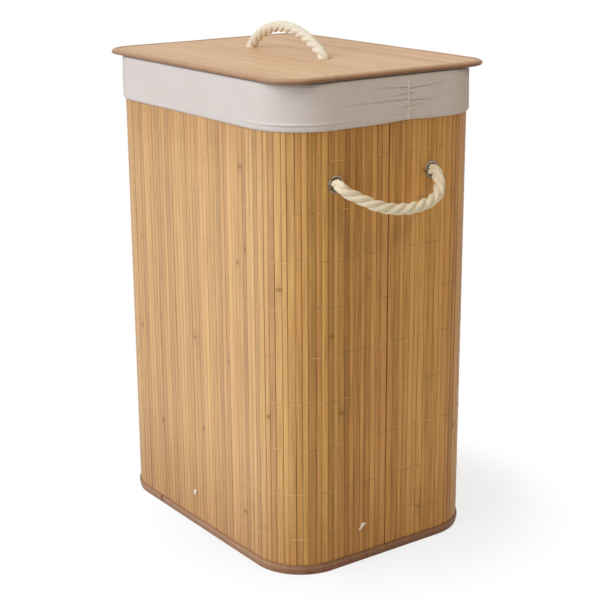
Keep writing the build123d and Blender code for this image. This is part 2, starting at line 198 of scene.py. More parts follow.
Number = Value | float
Tint = Value | Colour


class Graph:
    """The nodes of one material, or of the world."""

    def __init__(self, owner: bpy.types.Material | bpy.types.World) -> None:
        """Start an empty node tree.

        Args:
            owner: The material or world that gets it.
        """
        owner.use_nodes = True
        self.owner, self.tree = owner, owner.node_tree
        self.tree.nodes.clear()

    @classmethod
    def named(cls, name: str) -> "Graph":
        """Start a new material."""
        return cls(bpy.data.materials.new(name))

    def add(
        self, kind: str, sockets: dict | None = None, output: int | str = 0, **settings: object
    ) -> Value:
        """Add one node.

        Args:
            kind: The node's type, without ShaderNode before it.
            sockets: Inputs by name or number, as a number, a colour or another node's result.
            output: The output to go on from.
            settings: Properties to set first.

        Returns:
            That output.
        """
        node = self.tree.nodes.new("ShaderNode" + kind)
        for name, setting in settings.items():
            setattr(node, name, setting)
        for key, given in (sockets or {}).items():
            if isinstance(given, Value):
                self.tree.links.new(given.socket, node.inputs[key])
            else:
                node.inputs[key].default_value = given
        return Value(self, node.outputs[output])

    def place(self) -> Value:
        """Object coordinates, in metres."""
        return self.add("TexCoord", output="Object")

    def cloth_place(self) -> Value:
        """The piece's own UV map, in metres."""
        return self.add("UVMap", uv_map="UVMap")

    def attribute(self, name: str) -> Value:
        """A number kept on the piece's points."""
        return self.add("Attribute", output="Fac", attribute_name=name)

    def parts(self, vector: Value) -> list[Value]:
        """X, Y and Z of a vector."""
        node = self.add("SeparateXYZ", {0: vector}).socket.node
        return [Value(self, socket) for socket in node.outputs]

    def noise(
        self,
        vector: Value,
        scale: tuple[float, ...] | float,
        detail: float = 2.0,
        roughness: float = 0.5,
        shift: Number = 0.0,
    ) -> Value:
        """Smooth noise of about one bump per unit of the scaled and shifted vector.

        Args:
            vector: The vector.
            scale: Scale along X, Y and Z, or one for all.
            detail: Finer layers of noise.
            roughness: Strength of the finer layers.
            shift: Amount added along all three axes.

        Returns:
            A value from 0 to 1.
        """
        offset = self.add("CombineXYZ", dict.fromkeys(range(3), shift))
        scales = np.broadcast_to(scale, 3).tolist()
        place = self.add("VectorMath", {0: vector, 1: scales, 2: offset}, operation="MULTIPLY_ADD")
        layers = {"Scale": 1.0, "Detail": detail, "Roughness": roughness}
        return self.add("TexNoise", {"Vector": place, **layers})

    def ramp(self, value: Value, *colours: Colour) -> Value:
        """Colour by value, from 0 to 1.

        Args:
            value: The value.
            colours: Colours at even steps.

        Returns:
            The colour.
        """
        result = self.add("ValToRGB", {0: value})
        stops = result.socket.node.color_ramp.elements
        while len(stops) < len(colours):
            stops.new(1.0)
        for stop, place, colour in zip(stops, np.linspace(0.0, 1.0, len(colours)), colours):
            stop.position, stop.color = place, colour
        return result

    def mix(self, first: Tint, second: Tint, factor: Number, blend: str = "MIX") -> Value:
        """First colour where the factor is 0, and its blend with the second where it is 1."""
        sockets = {0: factor, 6: first, 7: second}
        return self.add("Mix", sockets, 2, data_type="RGBA", blend_type=blend)

    def shade(self, colour: Value, amount: Value) -> Value:
        """Multiply a colour by a grey amount."""
        return self.mix(colour, amount, 1.0, "MULTIPLY")

    def surface(
        self, colour: Tint, roughness: Number, height: Value, depth: float, **fixed: float
    ) -> bpy.types.Material:
        """End the graph in a Principled shader.

        Args:
            colour: Base colour.
            roughness: Roughness.
            height: Height for a bump, about -1 to 1.
            depth: What a height of 1 is worth, in metres.
            fixed: Other inputs, by name with _ for spaces, the same all over the surface.

        Returns:
            The finished material.
        """
        sockets: dict = {name.replace("_", " "): value for name, value in fixed.items()}
        sockets |= {"Base Color": colour, "Roughness": roughness}
        bump = {"Strength": 1.0, "Distance": depth, "Height": height}
        return self.end(self.add("BsdfPrincipled", sockets | {"Normal": self.add("Bump", bump)}))

    def end(self, shader: Value, output: str = "OutputMaterial") -> bpy.types.Material:
        """Link a shader to the output.

        Args:
            shader: The finished shader.
            output: The output node's type, without ShaderNode before it.

        Returns:
            The material or world.
        """
        node = self.tree.nodes.new("ShaderNode" + output)
        self.tree.links.new(shader.socket, node.inputs["Surface"])
        return self.owner


@dataclass(frozen=True)
class BambooFinish:
    """Split bamboo: each slat has its own tone, with long fibres, flecks and joints of the cane."""

    name: str
    tones: tuple[Levels, Levels, Levels]
    # Colour of the painted sheen, a pale tone mixed in on walls that face the light
    pale: Levels
    rosy: Levels
    olive: Levels
    knot: Levels
    along: int
    # Painted shade towards the slats' ends, where the floor and the cuff shade them: its colour,
    # and its strength at the foot and head
    end_shade: Colour = (0.37, 0.14, 0.017, 1.0)
    foot_shade: float = 0.0
    head_shade: float = 0.0
    # Strength of the painted shadow lines along the thread rows
    row_shadow: float = 0.0
    fibre: float = 0.14
    cane_joint: float = 0.43
    joint_depth: float = 0.60
    edge: float = 0.16
    streak: float = 1.5
    specular: float = 0.25
    sheen: float = 0.10

    def _scale(self, across: float, along: float) -> list[float]:
        """Scale of a pattern that is stretched along the slats."""
        return [along if axis == self.along else across for axis in range(3)]

    @cached_property
    def material(self) -> bpy.types.Material:
        """Colour is the slat's tone, with a painted sheen mixed in by a point attribute and painted
        shade towards its foot and head, times fibres and flecks stretched along it, with a dark
        band where the cane had a joint, darker edges, and painted shadow lines along the thread
        rows on some slats.

        Returns:
            The material.
        """
        g = Graph.named(self.name)
        place = g.place()
        names = ("tone", "pale", "seed", "across")
        tone, pale, seed, across = (g.attribute(name) for name in names)
        long_way = g.parts(place)[self.along]
        fibres = g.noise(place, self._scale(900.0, 9.0), 3.0, 0.6, seed * 37.0)
        streaks = g.noise(place, self._scale(360.0, 12.0), shift=seed * 61.0)
        flecks = g.noise(place, self._scale(420.0, 90.0), 1.0, shift=seed * 17.0).step(0.70, 0.80)
        waver = (g.noise(place, 380.0) - 0.5) * 0.018
        band = abs((long_way * (1.0 / self.cane_joint) + seed * 7.31 + waver).part() - 0.5)
        bold = 0.14 + 0.86 * (seed * 53.7).part().step(0.82, 0.94)
        joint = (1.0 - band.step(0.001, 0.009)) * bold * (1.0 - abs(across - 0.2) * 0.6)
        halo = (1.0 - band.step(0.006, 0.05)) * (0.4 + 0.6 * bold)
        hue = (seed * 29.3).part()
        # Painted shade: deeper and warmer towards the slats' foot and head
        ends = self.foot_shade * (1.0 - long_way.step(0.0, 0.16))
        ends = ends + self.head_shade * long_way.step(0.455, 0.545)
        colour = g.ramp(tone + (streaks - 0.5) * self.streak, *map(screen, self.tones))
        for other, factor in (
            (screen(self.rosy), hue.step(0.55, 0.95) * 0.30),
            (screen(self.olive), (1.0 - hue.step(0.05, 0.40)) * 0.25),
            # Painted sheen: pale colour mixed in where the walls face the light
            (screen(self.pale), pale),
            (self.end_shade, ends),
            (screen(self.knot), joint * self.joint_depth),
        ):
            colour = g.mix(colour, other, factor)
        amount = 1.0 + (fibres - 0.5) * (2.0 * self.fibre)
        amount = amount * (1.0 - flecks * 0.22)
        amount = amount * (1.0 - halo * 0.08) * (1.0 - abs(across) ** 6.0 * self.edge)
        # Painted shadow lines along the thread rows, on some slats, weaker where the painted sheen
        # is
        rows = long_way * (1.0 / ROW_STEP) + (0.5 - FIRST_ROW / ROW_STEP)
        near_row = 1.0 - abs(rows.part() - 0.5).step(0.005, 0.017)
        row_shadow_mask = (seed * 71.3 + (rows - rows.part()) * 0.377).part().step(0.50, 0.64)
        amount = amount * (1.0 - near_row * row_shadow_mask * (1.0 - pale * 2.0) * self.row_shadow)
        return g.surface(
            g.shade(colour, amount),
            0.46 + (fibres - 0.5) * 0.22 + joint * 0.15,
            fibres * 0.5 + joint * 1.2 - flecks * 0.4,
            0.12 * MM,
            Specular_IOR_Level=self.specular,
            Sheen_Weight=self.sheen,
        )


@dataclass(frozen=True)
class Finish:
    """What the plainer finishes share: a name, a main colour and a second one."""

    name: str
    colour: Levels
    second: Levels

    def blend(self, g: Graph, factor: Value) -> Value:
        """Main colour where the factor is 0, second where it is 1."""
        return g.mix(screen(self.colour), screen(self.second), factor)


@dataclass(frozen=True)
class ClothFinish(Finish):
    """Plain weave with slubs along both threads; the second colour is the light one."""

    pitch: float
    slub: float = 0.5

    @cached_property
    def material(self) -> bpy.types.Material:
        """Two sets of threads cross on the UV map; where one is over, it is high and light. A point
        attribute darkens creases with painted shade, and lightens where it is below 0, a painted
        highlight.

        Returns:
            The material.
        """
        g = Graph.named(self.name)
        place = g.cloth_place()
        u, v, _ = g.parts(place)
        weave = (u * (1.0 / self.pitch)).wave() * (v * (1.0 / self.pitch)).wave()
        flat = g.noise(place, (90.0, 1500.0, 1.0))
        upright = g.noise(place, (1500.0, 90.0, 1.0))
        blotch = g.noise(place, (22.0, 22.0, 1.0))
        slubs = (flat + upright - 1.0) * self.slub
        colour = self.blend(g, 0.62 + slubs + weave * 0.10 + (blotch - 0.5) * 0.35)
        return g.surface(
            # Painted shade in creases; below 0, a painted highlight
            g.shade(colour, 1.0 - g.attribute("fold") * 0.55),
            0.86 - slubs * 0.2,
            weave * 0.5 + slubs,
            0.14 * MM,
            Sheen_Weight=0.12,
            Specular_IOR_Level=0.2,
        )


@dataclass(frozen=True)
class TapeFinish(Finish):
    """Cloth tape of the bindings: fine ribs, a soft gloss, and a second, lighter colour mixed in as
    painted light.
    """

    @cached_property
    def material(self) -> bpy.types.Material:
        """Ribs and blotches on the UV map; a point attribute mixes in the lighter colour as painted
        light, and the attribute shade darkens the joins and, as painted shade, the hollows.

        Returns:
            The material.
        """
        g = Graph.named(self.name)
        place = g.cloth_place()
        u, v, _ = g.parts(place)
        ribs = (u * (1.0 / (0.55 * MM))).wave()
        rows = (v * (1.0 / (0.45 * MM))).wave()
        blotch = g.noise(place, (30.0, 160.0, 1.0), 3.0)
        fine = g.noise(place, (700.0, 1500.0, 1.0))
        # Painted light: the lighter colour where light falls on the tape
        colour = self.blend(g, g.attribute("worn") * 0.8 + (blotch - 0.5) * 0.5)
        amount = (1.0 + (fine - 0.5) * 0.18 + ribs * 0.02) * (1.0 - g.attribute("shade") * 0.85)
        roughness = 0.50 + (blotch - 0.5) * 0.2
        height = ribs * rows * 0.5 + fine
        colour = g.shade(colour, amount)
        return g.surface(colour, roughness, height, 0.10 * MM, Specular_IOR_Level=0.25)


@dataclass(frozen=True)
class RopeFinish(Finish):
    """Cotton rope: each strand is a bundle of twisted yarns; the second colour is the light one."""

    @cached_property
    def material(self) -> bpy.types.Material:
        """Yarns are waves round and along a strand on its UV map, with loose fibre noise.

        Returns:
            The material.
        """
        g = Graph.named(self.name)
        place = g.cloth_place()
        u, v, _ = g.parts(place)
        yarn = (u * 9.0 + v * 130.0).wave()
        fibre = g.noise(place, (60.0, 900.0, 1.0), 3.0, 0.65)
        blotch = g.noise(g.place(), 70.0)
        colour = self.blend(g, 0.70 + yarn * 0.16 + (fibre - 0.5) * 0.7 + (blotch - 0.5) * 0.5)
        height = yarn * 0.6 + fibre
        return g.surface(colour, 0.9, height, 0.25 * MM, Sheen_Weight=0.2, Specular_IOR_Level=0.15)


@dataclass(frozen=True)
class ThreadFinish(Finish):
    """Sewing thread: two plies twisted together; the second colour is the light one."""

    @cached_property
    def material(self) -> bpy.types.Material:
        """Plies are slanting waves on Object coordinates.

        Returns:
            The material.
        """
        g = Graph.named(self.name)
        place = g.place()
        x, y, z = g.parts(place)
        ply = ((x + y) * 900.0 + z * 700.0).wave()
        fibre = g.noise(place, 2200.0)
        colour = self.blend(g, 0.6 + ply * 0.3 + (fibre - 0.5) * 0.6)
        return g.surface(colour, 0.75, ply + fibre, 0.06 * MM, Specular_IOR_Level=0.25)


@dataclass(frozen=True)
class MetalFinish(Finish):
    """Plated metal with rubbed spots; the second colour is its tarnish."""

    roughness: float

    @cached_property
    def material(self) -> bpy.types.Material:
        """Tarnish and rubbing are two sizes of noise.

        Returns:
            The material.
        """
        g = Graph.named(self.name)
        place = g.place()
        spots = g.noise(place, 260.0, 3.0)
        scuffs = g.noise(place, (1500.0, 1500.0, 240.0))
        roughness = self.roughness + (scuffs - 0.5) * 0.25 + spots * 0.1
        colour = self.blend(g, spots.step(0.42, 0.72))
        return g.surface(colour, roughness, scuffs, 0.02 * MM, Metallic=1.0)


@dataclass(frozen=True)
class BoardFinish(Finish):
    """Pressed fibre board: short fibres, and chips in the second colour."""

    @cached_property
    def material(self) -> bpy.types.Material:
        """Chips are stretched noise over a fine grain.

        Returns:
            The material.
        """
        g = Graph.named(self.name)
        place = g.place()
        chips = g.noise(place, (120.0, 330.0, 330.0), 3.0)
        grain = g.noise(place, 1100.0)
        colour = self.blend(g, chips.step(0.45, 0.75))
        return g.surface(colour, 0.8 + (grain - 0.5) * 0.1, grain + chips, 0.1 * MM)


# Finishes of the hamper, each of which makes its material at its first use
BAMBOO = BambooFinish(
    "bamboo_slats",
    tones=((170, 117, 56), (208, 152, 80), (234, 182, 104)),
    pale=(230, 198, 162),
    rosy=(218, 152, 88),
    olive=(200, 158, 80),
    knot=(118, 74, 36),
    along=2,
    # Painted shade at the foot and head of the slats
    foot_shade=0.38,
    head_shade=0.23,
    row_shadow=0.27,
)
LID_BAMBOO = BambooFinish(
    "lid_bamboo_slats",
    tones=((202, 156, 106), (217, 174, 125), (227, 190, 144)),
    pale=(230, 200, 164),
    rosy=(224, 184, 146),
    olive=(212, 172, 116),
    knot=(160, 112, 70),
    along=0,
    fibre=0.16,
    cane_joint=0.61,
    joint_depth=0.22,
    edge=0.05,
)
BACKING = ClothFinish("backing_weave", (112, 74, 38), (158, 110, 60), 0.9 * MM, 0.4)
LINEN = ClothFinish("liner_linen", (206, 193, 185), (234, 223, 216), 0.7 * MM)
LINING = ClothFinish("lid_lining_weave", (160, 148, 138), (206, 196, 186), 0.8 * MM, 0.3)
# Binding tape: its own colour, and a lighter one mixed in as painted light
BINDING = TapeFinish("binding_tape", (138, 90, 57), (213, 174, 140))
ROPE = RopeFinish("rope_cotton", (228, 213, 186), (253, 246, 229))
# Warmer copy of the rope for the side handles: painted warm light from the fill on the handle faces
WARM_LIT_SIDE_ROPE = RopeFinish("side_rope_cotton", (228, 202, 158), (255, 246, 220))
WHITE_THREAD = ThreadFinish("tie_thread", (230, 222, 208), (255, 252, 245))
TAN_THREAD = ThreadFinish("row_thread", (216, 168, 110), (244, 202, 146))
BROWN_THREAD = ThreadFinish("binding_thread", (136, 96, 68), (186, 144, 116))
EYELET = MetalFinish("eyelet_plate", (156, 142, 124), (92, 74, 58), 0.30)
WIRE = MetalFinish("hoop_wire", (190, 190, 192), (128, 126, 122), 0.38)
BOARD = BoardFinish("pressed_board", (176, 138, 98), (122, 86, 54))


@dataclass(frozen=True)
class Outline:
    """Rounded rectangle seen from above, walked counter-clockwise from the curtain's joint."""

    half_x: float
    half_y: float
    radius: float
    start_y: float = -3.0 * MM

    def breaks(self) -> tuple[Array, Array, Array]:
        """Find where the straight runs and the bends meet.

        Returns:
            Walked length, centre of the bend, and outward angle at each meeting point.
        """
        flat_x, flat_y = self.half_x - self.radius, self.half_y - self.radius
        bend = self.radius * math.pi / 2.0
        runs = [flat_y - self.start_y, bend, 2 * flat_x, bend, 2 * flat_y, bend, 2 * flat_x, bend]
        walked = np.concatenate([[0.0], np.cumsum(runs + [flat_y + self.start_y])])
        centre_x = flat_x * np.array([1, 1, 1, -1, -1, -1, -1, 1, 1, 1], float)
        centre_y = flat_y * np.array([0, 1, 1, 1, 1, -1, -1, -1, -1, 0], float)
        centre_y[[0, -1]] = self.start_y
        angle = math.pi / 2.0 * np.array([0, 0, 1, 1, 2, 2, 3, 3, 4, 4], float)
        return walked, np.stack([centre_x, centre_y], -1), angle

    def length(self) -> float:
        """Length of the whole walk."""
        return float(self.breaks()[0][-1])

    def rows(self, count: int) -> Array:
        """Evenly spaced walked lengths of one lap."""
        return np.linspace(0.0, self.length(), count, endpoint=False)

    def turn(self, walked: Array, turns: int) -> Array:
        """Angle that makes a number of whole turns in one lap, so that waves close."""
        return walked * (FULL_TURN * turns / self.length())

    def shortest(self, distance: Array) -> Array:
        """Signed walked distance, taken the shorter way round."""
        lap = self.length()
        return (distance + 0.5 * lap) % lap - 0.5 * lap

    def walk(self, walked: Array) -> tuple[Array, Array]:
        """Centre of the bend moves along the runs and the outward angle turns in the bends.

        Args:
            walked: Lengths along the outline.

        Returns:
            Centres of the bend and outward directions, each (n, 2).
        """
        marks, centres, angles = self.breaks()
        centre = np.stack([np.interp(walked, marks, centres[:, axis]) for axis in (0, 1)], -1)
        angle = np.interp(walked, marks, angles)
        return centre, np.stack([np.cos(angle), np.sin(angle)], -1)

    def at(self, walked: Array, offset: Array | float = 0.0) -> Array:
        """Points on the outline: centre of the bend plus radius and offset times the way out."""
        centre, out = self.walk(walked)
        return centre + (self.radius + np.asarray(offset))[..., None] * out


class Ends(Enum):
    """Which end rows of a grid are filled."""

    OPEN = ()
    LAST = (1,)
    BOTH = (0, 1)


@dataclass
class Surface:
    """Grids of points, (grids, rows, columns, 3), that become one mesh of quads.

    One grid may leave out the first axis. The UV places across the columns and along the rows
    have one more number where these close. Rows from level_from on lie level, and their UV
    place is X and Y.
    """

    points: Array
    close_rows: bool = False
    close_columns: bool = True
    ends: Ends = Ends.OPEN
    across: Array | None = None
    along: Array | None = None
    level_from: int | None = None

    def __post_init__(self) -> None:
        """Fill in what is left out."""
        self.points = self.points.reshape(-1, *self.points.shape[-3:])
        _, rows, columns, _ = self.points.shape
        self.across = np.arange(columns + 1.0) if self.across is None else self.across
        self.along = np.arange(rows + 1.0) if self.along is None else self.along
        self.level_from = rows if self.level_from is None else self.level_from

    def faces(self) -> tuple[Array, Array, Array]:
        """Each face joins a point to the next column, the next row and back.

        Returns:
            Quads, filled ends, and UV places of the quads' corners.
        """
        grids, rows, columns, _ = self.points.shape
        row, column = np.meshgrid(
            np.arange(rows if self.close_rows else rows - 1),
            np.arange(columns if self.close_columns else columns - 1),
            indexing="ij",
        )
        row = np.stack([row, row, row + 1, row + 1], -1).reshape(-1, 4)
        column = np.stack([column, column + 1, column + 1, column], -1).reshape(-1, 4)
        first = np.arange(grids)[:, None, None] * rows * columns
        quads = (first + (row % rows) * columns + column % columns).reshape(-1, 4)
        corners = np.tile(np.stack([self.across[column], self.along[row]], -1), (grids, 1, 1))
        level = np.tile(row[:, 0] >= self.level_from, grids)
        corners[level] = self.points.reshape(-1, 3)[quads[level], :2]
        ring = np.arange(columns)
        ends = np.stack([ring[::-1], ring + (rows - 1) * columns])[list(self.ends.value)]
        return quads, (first + ends).reshape(-1, columns), corners

    def mesh(self, name: str, **attributes: Array) -> bpy.types.Mesh:
        """Write the mesh, with its faces turned outwards where it is closed.

        Args:
            name: The mesh's name.
            attributes: Numbers for the points, that spread to the grids' shape.

        Returns:
            The mesh.
        """
        quads, ends, corners = self.faces()
        flat = self.points.reshape(-1, 3)
        middle = flat - flat.mean(0)
        a, b, c, d = (middle[quads[:, index]] for index in range(4))
        volume = np.einsum("ij,ij->", a, np.cross(b, c)) + np.einsum("ij,ij->", a, np.cross(c, d))
        closed = self.close_columns and (self.ends is Ends.BOTH or self.close_rows)
        if closed and volume < 0.0:
            quads, ends, corners = quads[:, ::-1], ends[:, ::-1], corners[:, ::-1]
        mesh = bpy.data.meshes.new(name)
        mesh.from_pydata(flat.tolist(), [], quads.tolist() + ends.tolist())
        uv = np.concatenate([corners.reshape(-1, 2), flat[ends.ravel(), :2]])
        mesh.uv_layers.new(name="UVMap").data.foreach_set("uv", uv.astype(np.float32).ravel())
        for key, numbers in attributes.items():
            spread = np.broadcast_to(numbers, self.points.shape[:3]).astype(np.float32)
            mesh.attributes.new(key, "FLOAT", "POINT").data.foreach_set("value", spread.ravel())
        return mesh


def link(name: str, data: bpy.types.ID) -> bpy.types.Object:
    """Put a new object in the scene.

    Args:
        name: The object's name.
        data: Its mesh, curve, light or camera.

    Returns:
        The object.
    """
    item = bpy.data.objects.new(name, data)
    bpy.context.scene.collection.objects.link(item)
    return item


@dataclass
class Piece:
    """One visible piece and what it stands for."""

    name: str
    finish: BambooFinish | Finish
    slot: Slot
    body: Body | None
    replaces: tuple[str, ...] = ()
    smooth: float = 50.0

    def place(
        self, surface: Surface, thickness: float = 0.0, **attributes: Array
    ) -> bpy.types.Object:
        """Make the object, dress it and seat it on its body.

        Args:
            surface: The piece's surface.
            thickness: Thickness of a sheet, half to each side of the surface.
            attributes: Numbers kept on its points.

        Returns:
            The object.
        """
        mesh = surface.mesh(self.name, **attributes)
        mesh.materials.append(self.finish.material)
        mesh.shade_smooth()
        mesh.set_sharp_from_angle(angle=math.radians(self.smooth))
        item = link(self.name, mesh)
        if thickness:
            solid = item.modifiers.new("thickness", "SOLIDIFY")
            solid.thickness, solid.offset = thickness, 0.0
        if self.body is not None:
            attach(item, self.body.value)
        if self.replaces:
            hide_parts(*self.replaces)
        LOG.info("%s: %d faces", self.name, len(mesh.polygons))
        return item

    def sew(self, threads: Array) -> None:
        """Make the piece of threads that are closed at both ends."""
        self.place(Surface(threads, ends=Ends.BOTH))


def dress_nodes(finish: Finish, *nodes: str) -> None:
    """Give CAD nodes that stay as they are their finish.

    Args:
        finish: The finish.
        nodes: The nodes' names.
    """
    for node in nodes:
        item = bpy.data.objects[node]
        if not item.material_slots:
            item.data.materials.append(finish.material)
        for slot in item.material_slots:
            slot.material = finish.material
        LOG.info("%s: dressed", node)


def unit(vectors: Array) -> Array:
    """Vectors scaled to a length of 1."""
    return vectors / np.linalg.norm(vectors, axis=-1, keepdims=True)


def bell(distance: Array, width: float) -> Array:
    """Bell curve, exp(-(distance / width)^2)."""
    return np.exp(-((distance / width) ** 2))


def ramp(value: Array, low: float, high: float) -> Array:
    """Straight rise from 0 at the low value to 1 at the high one."""
    return np.clip((value - low) / (high - low), 0.0, 1.0)


def angles(count: int) -> Array:
    """Evenly spaced angles of a full turn."""
    return np.linspace(0.0, FULL_TURN, count, endpoint=False)


def raised(flat: Array, heights: Array | float) -> Array:
    """Points of a plan, (..., 2), at their heights."""
    tall = np.broadcast_to(heights, flat.shape[:-1])
    return np.concatenate([flat, tall[..., None]], -1)


def lengths(line: Array) -> Array:
    """Length along a line to each of its points."""
    return np.concatenate([[0.0], np.cumsum(np.linalg.norm(np.diff(line, axis=0), axis=1))])


def tube(line: Array, radius: Array | float, sides: int, reference: Array) -> Array:
    """Carry a circle along a line: point = line + radius * (cos * side + sin * up), where side is
    the line's direction crossed with a reference direction.

    Args:
        line: Points of the line, (..., n, 3).
        radius: Radius, or one for each point.
        sides: Corners of the circle.
        reference: A direction that the line never follows, or one for each point.

    Returns:
        Points, (..., n, sides, 3).
    """
    ahead = unit(np.gradient(line, axis=-2))
    side = unit(np.cross(ahead, np.broadcast_to(reference, line.shape)))
    up = np.cross(side, ahead)
    turn = angles(sides)[:, None]
    ring = np.cos(turn) * side[..., None, :] + np.sin(turn) * up[..., None, :]
    size = np.broadcast_to(np.asarray(radius, float), line.shape[:-1])
    return line[..., None, :] + size[..., None, None] * ring


def ring(outline: Outline, profile: Array, extra: Array = np.empty(0)) -> tuple[Surface, Array]:
    """Carry a closed profile round an outline.

    Args:
        outline: The outline to follow.
        profile: Distances out from the outline, and heights of the same points, (2, n).
        extra: More walked lengths to sample.

    Returns:
        The surface, and the walked lengths of its rows.
    """
    walked = np.unique(np.concatenate([outline.rows(360), extra]))
    points = raised(outline.at(walked[:, None], profile[:1]), profile[1])
    across = lengths(np.append(profile, profile[:, :1], axis=1).T)
    along = np.append(walked, outline.length())
    return Surface(points, True, across=across, along=along), walked


def strip_section(crown: float) -> tuple[Array, Array]:
    """Section of a split slat: a rounded rectangle, u = sign(cos) |cos|^0.22 across and
    d = (1 + sign(sin) |sin|^0.4) / 2 through, with a crown on its face.

    Args:
        crown: Rise of the middle of the face, as a share of the thickness.

    Returns:
        Places across from -1 to 1 and through from 0 at the back to 1 at the face.
    """
    corners = 16
    turn = (np.arange(corners) + 0.5) * FULL_TURN / corners
    u = np.sign(np.cos(turn)) * np.abs(np.cos(turn)) ** 0.22
    d = 0.5 + 0.5 * np.sign(np.sin(turn)) * np.abs(np.sin(turn)) ** 0.4
    return u, d * (1.0 - crown * u**2 * (d > 0.5))


def cut_strips(
    low: Array, high: Array, half: Array, holes: Array, rows: int
) -> tuple[Array, Array]:
    """Cut the strips that holes reach into the lengths between low end, hole edges and high end.

    Args:
        low: Where each strip starts, at each corner of its section, (strips, corners).
        high: Where it ends.
        half: Half width of the holes at the same corners, 0 beside them.
        holes: Middle of each hole along the strips.
        rows: Rows of points on each length.

    Returns:
        Strip that each length comes from, and places along it, (lengths, rows, corners).
    """
    reached = half.max(1) > 0.0
    whole, cut = np.flatnonzero(~reached), np.flatnonzero(reached)
    edges = [low[cut]]
    for middle in holes:
        edges += [middle - half[cut], middle + half[cut]]
    edges.append(high[cut])
    start = np.concatenate([low[whole], *edges[0::2]])
    end = np.concatenate([high[whole], *edges[1::2]])
    pick = np.concatenate([whole, np.tile(cut, len(edges) // 2)])
    share = np.linspace(0.0, 1.0, rows)[:, None]
    return pick, start[:, None] + (end - start)[:, None] * share


def stitch_row(
    outline: Outline,
    offset: Callable[[Array], Array] | float,
    height: float,
    pitch: float,
    size: float,
    rise: float,
) -> Array:
    """Stitches round an outline: each is a short thread whose middle stands out and whose ends
    dip into the cloth, offset + rise * (1 - 2 a^2) for a from -1 to 1.

    Args:
        outline: The outline to follow.
        offset: Distance of the cloth's face from the outline, or a function of walked length.
        height: Height of the row.
        pitch: Distance between stitches.
        size: Radius of the thread.
        rise: How far the middle stands out.

    Returns:
        Points, (stitches, 5, 6, 3).
    """
    half_stitch = 0.36 * pitch
    count = int(outline.length() / pitch)
    middle = (np.arange(count) + 0.5) * outline.length() / count
    walked = (middle[:, None] + STITCH * half_stitch) % outline.length()
    face = offset(walked) if callable(offset) else offset
    flat = outline.at(walked, face + rise * (1.0 - 2.0 * STITCH**2))
    return tube(raised(flat, height), size * STITCH_SIZE, 6, UP)


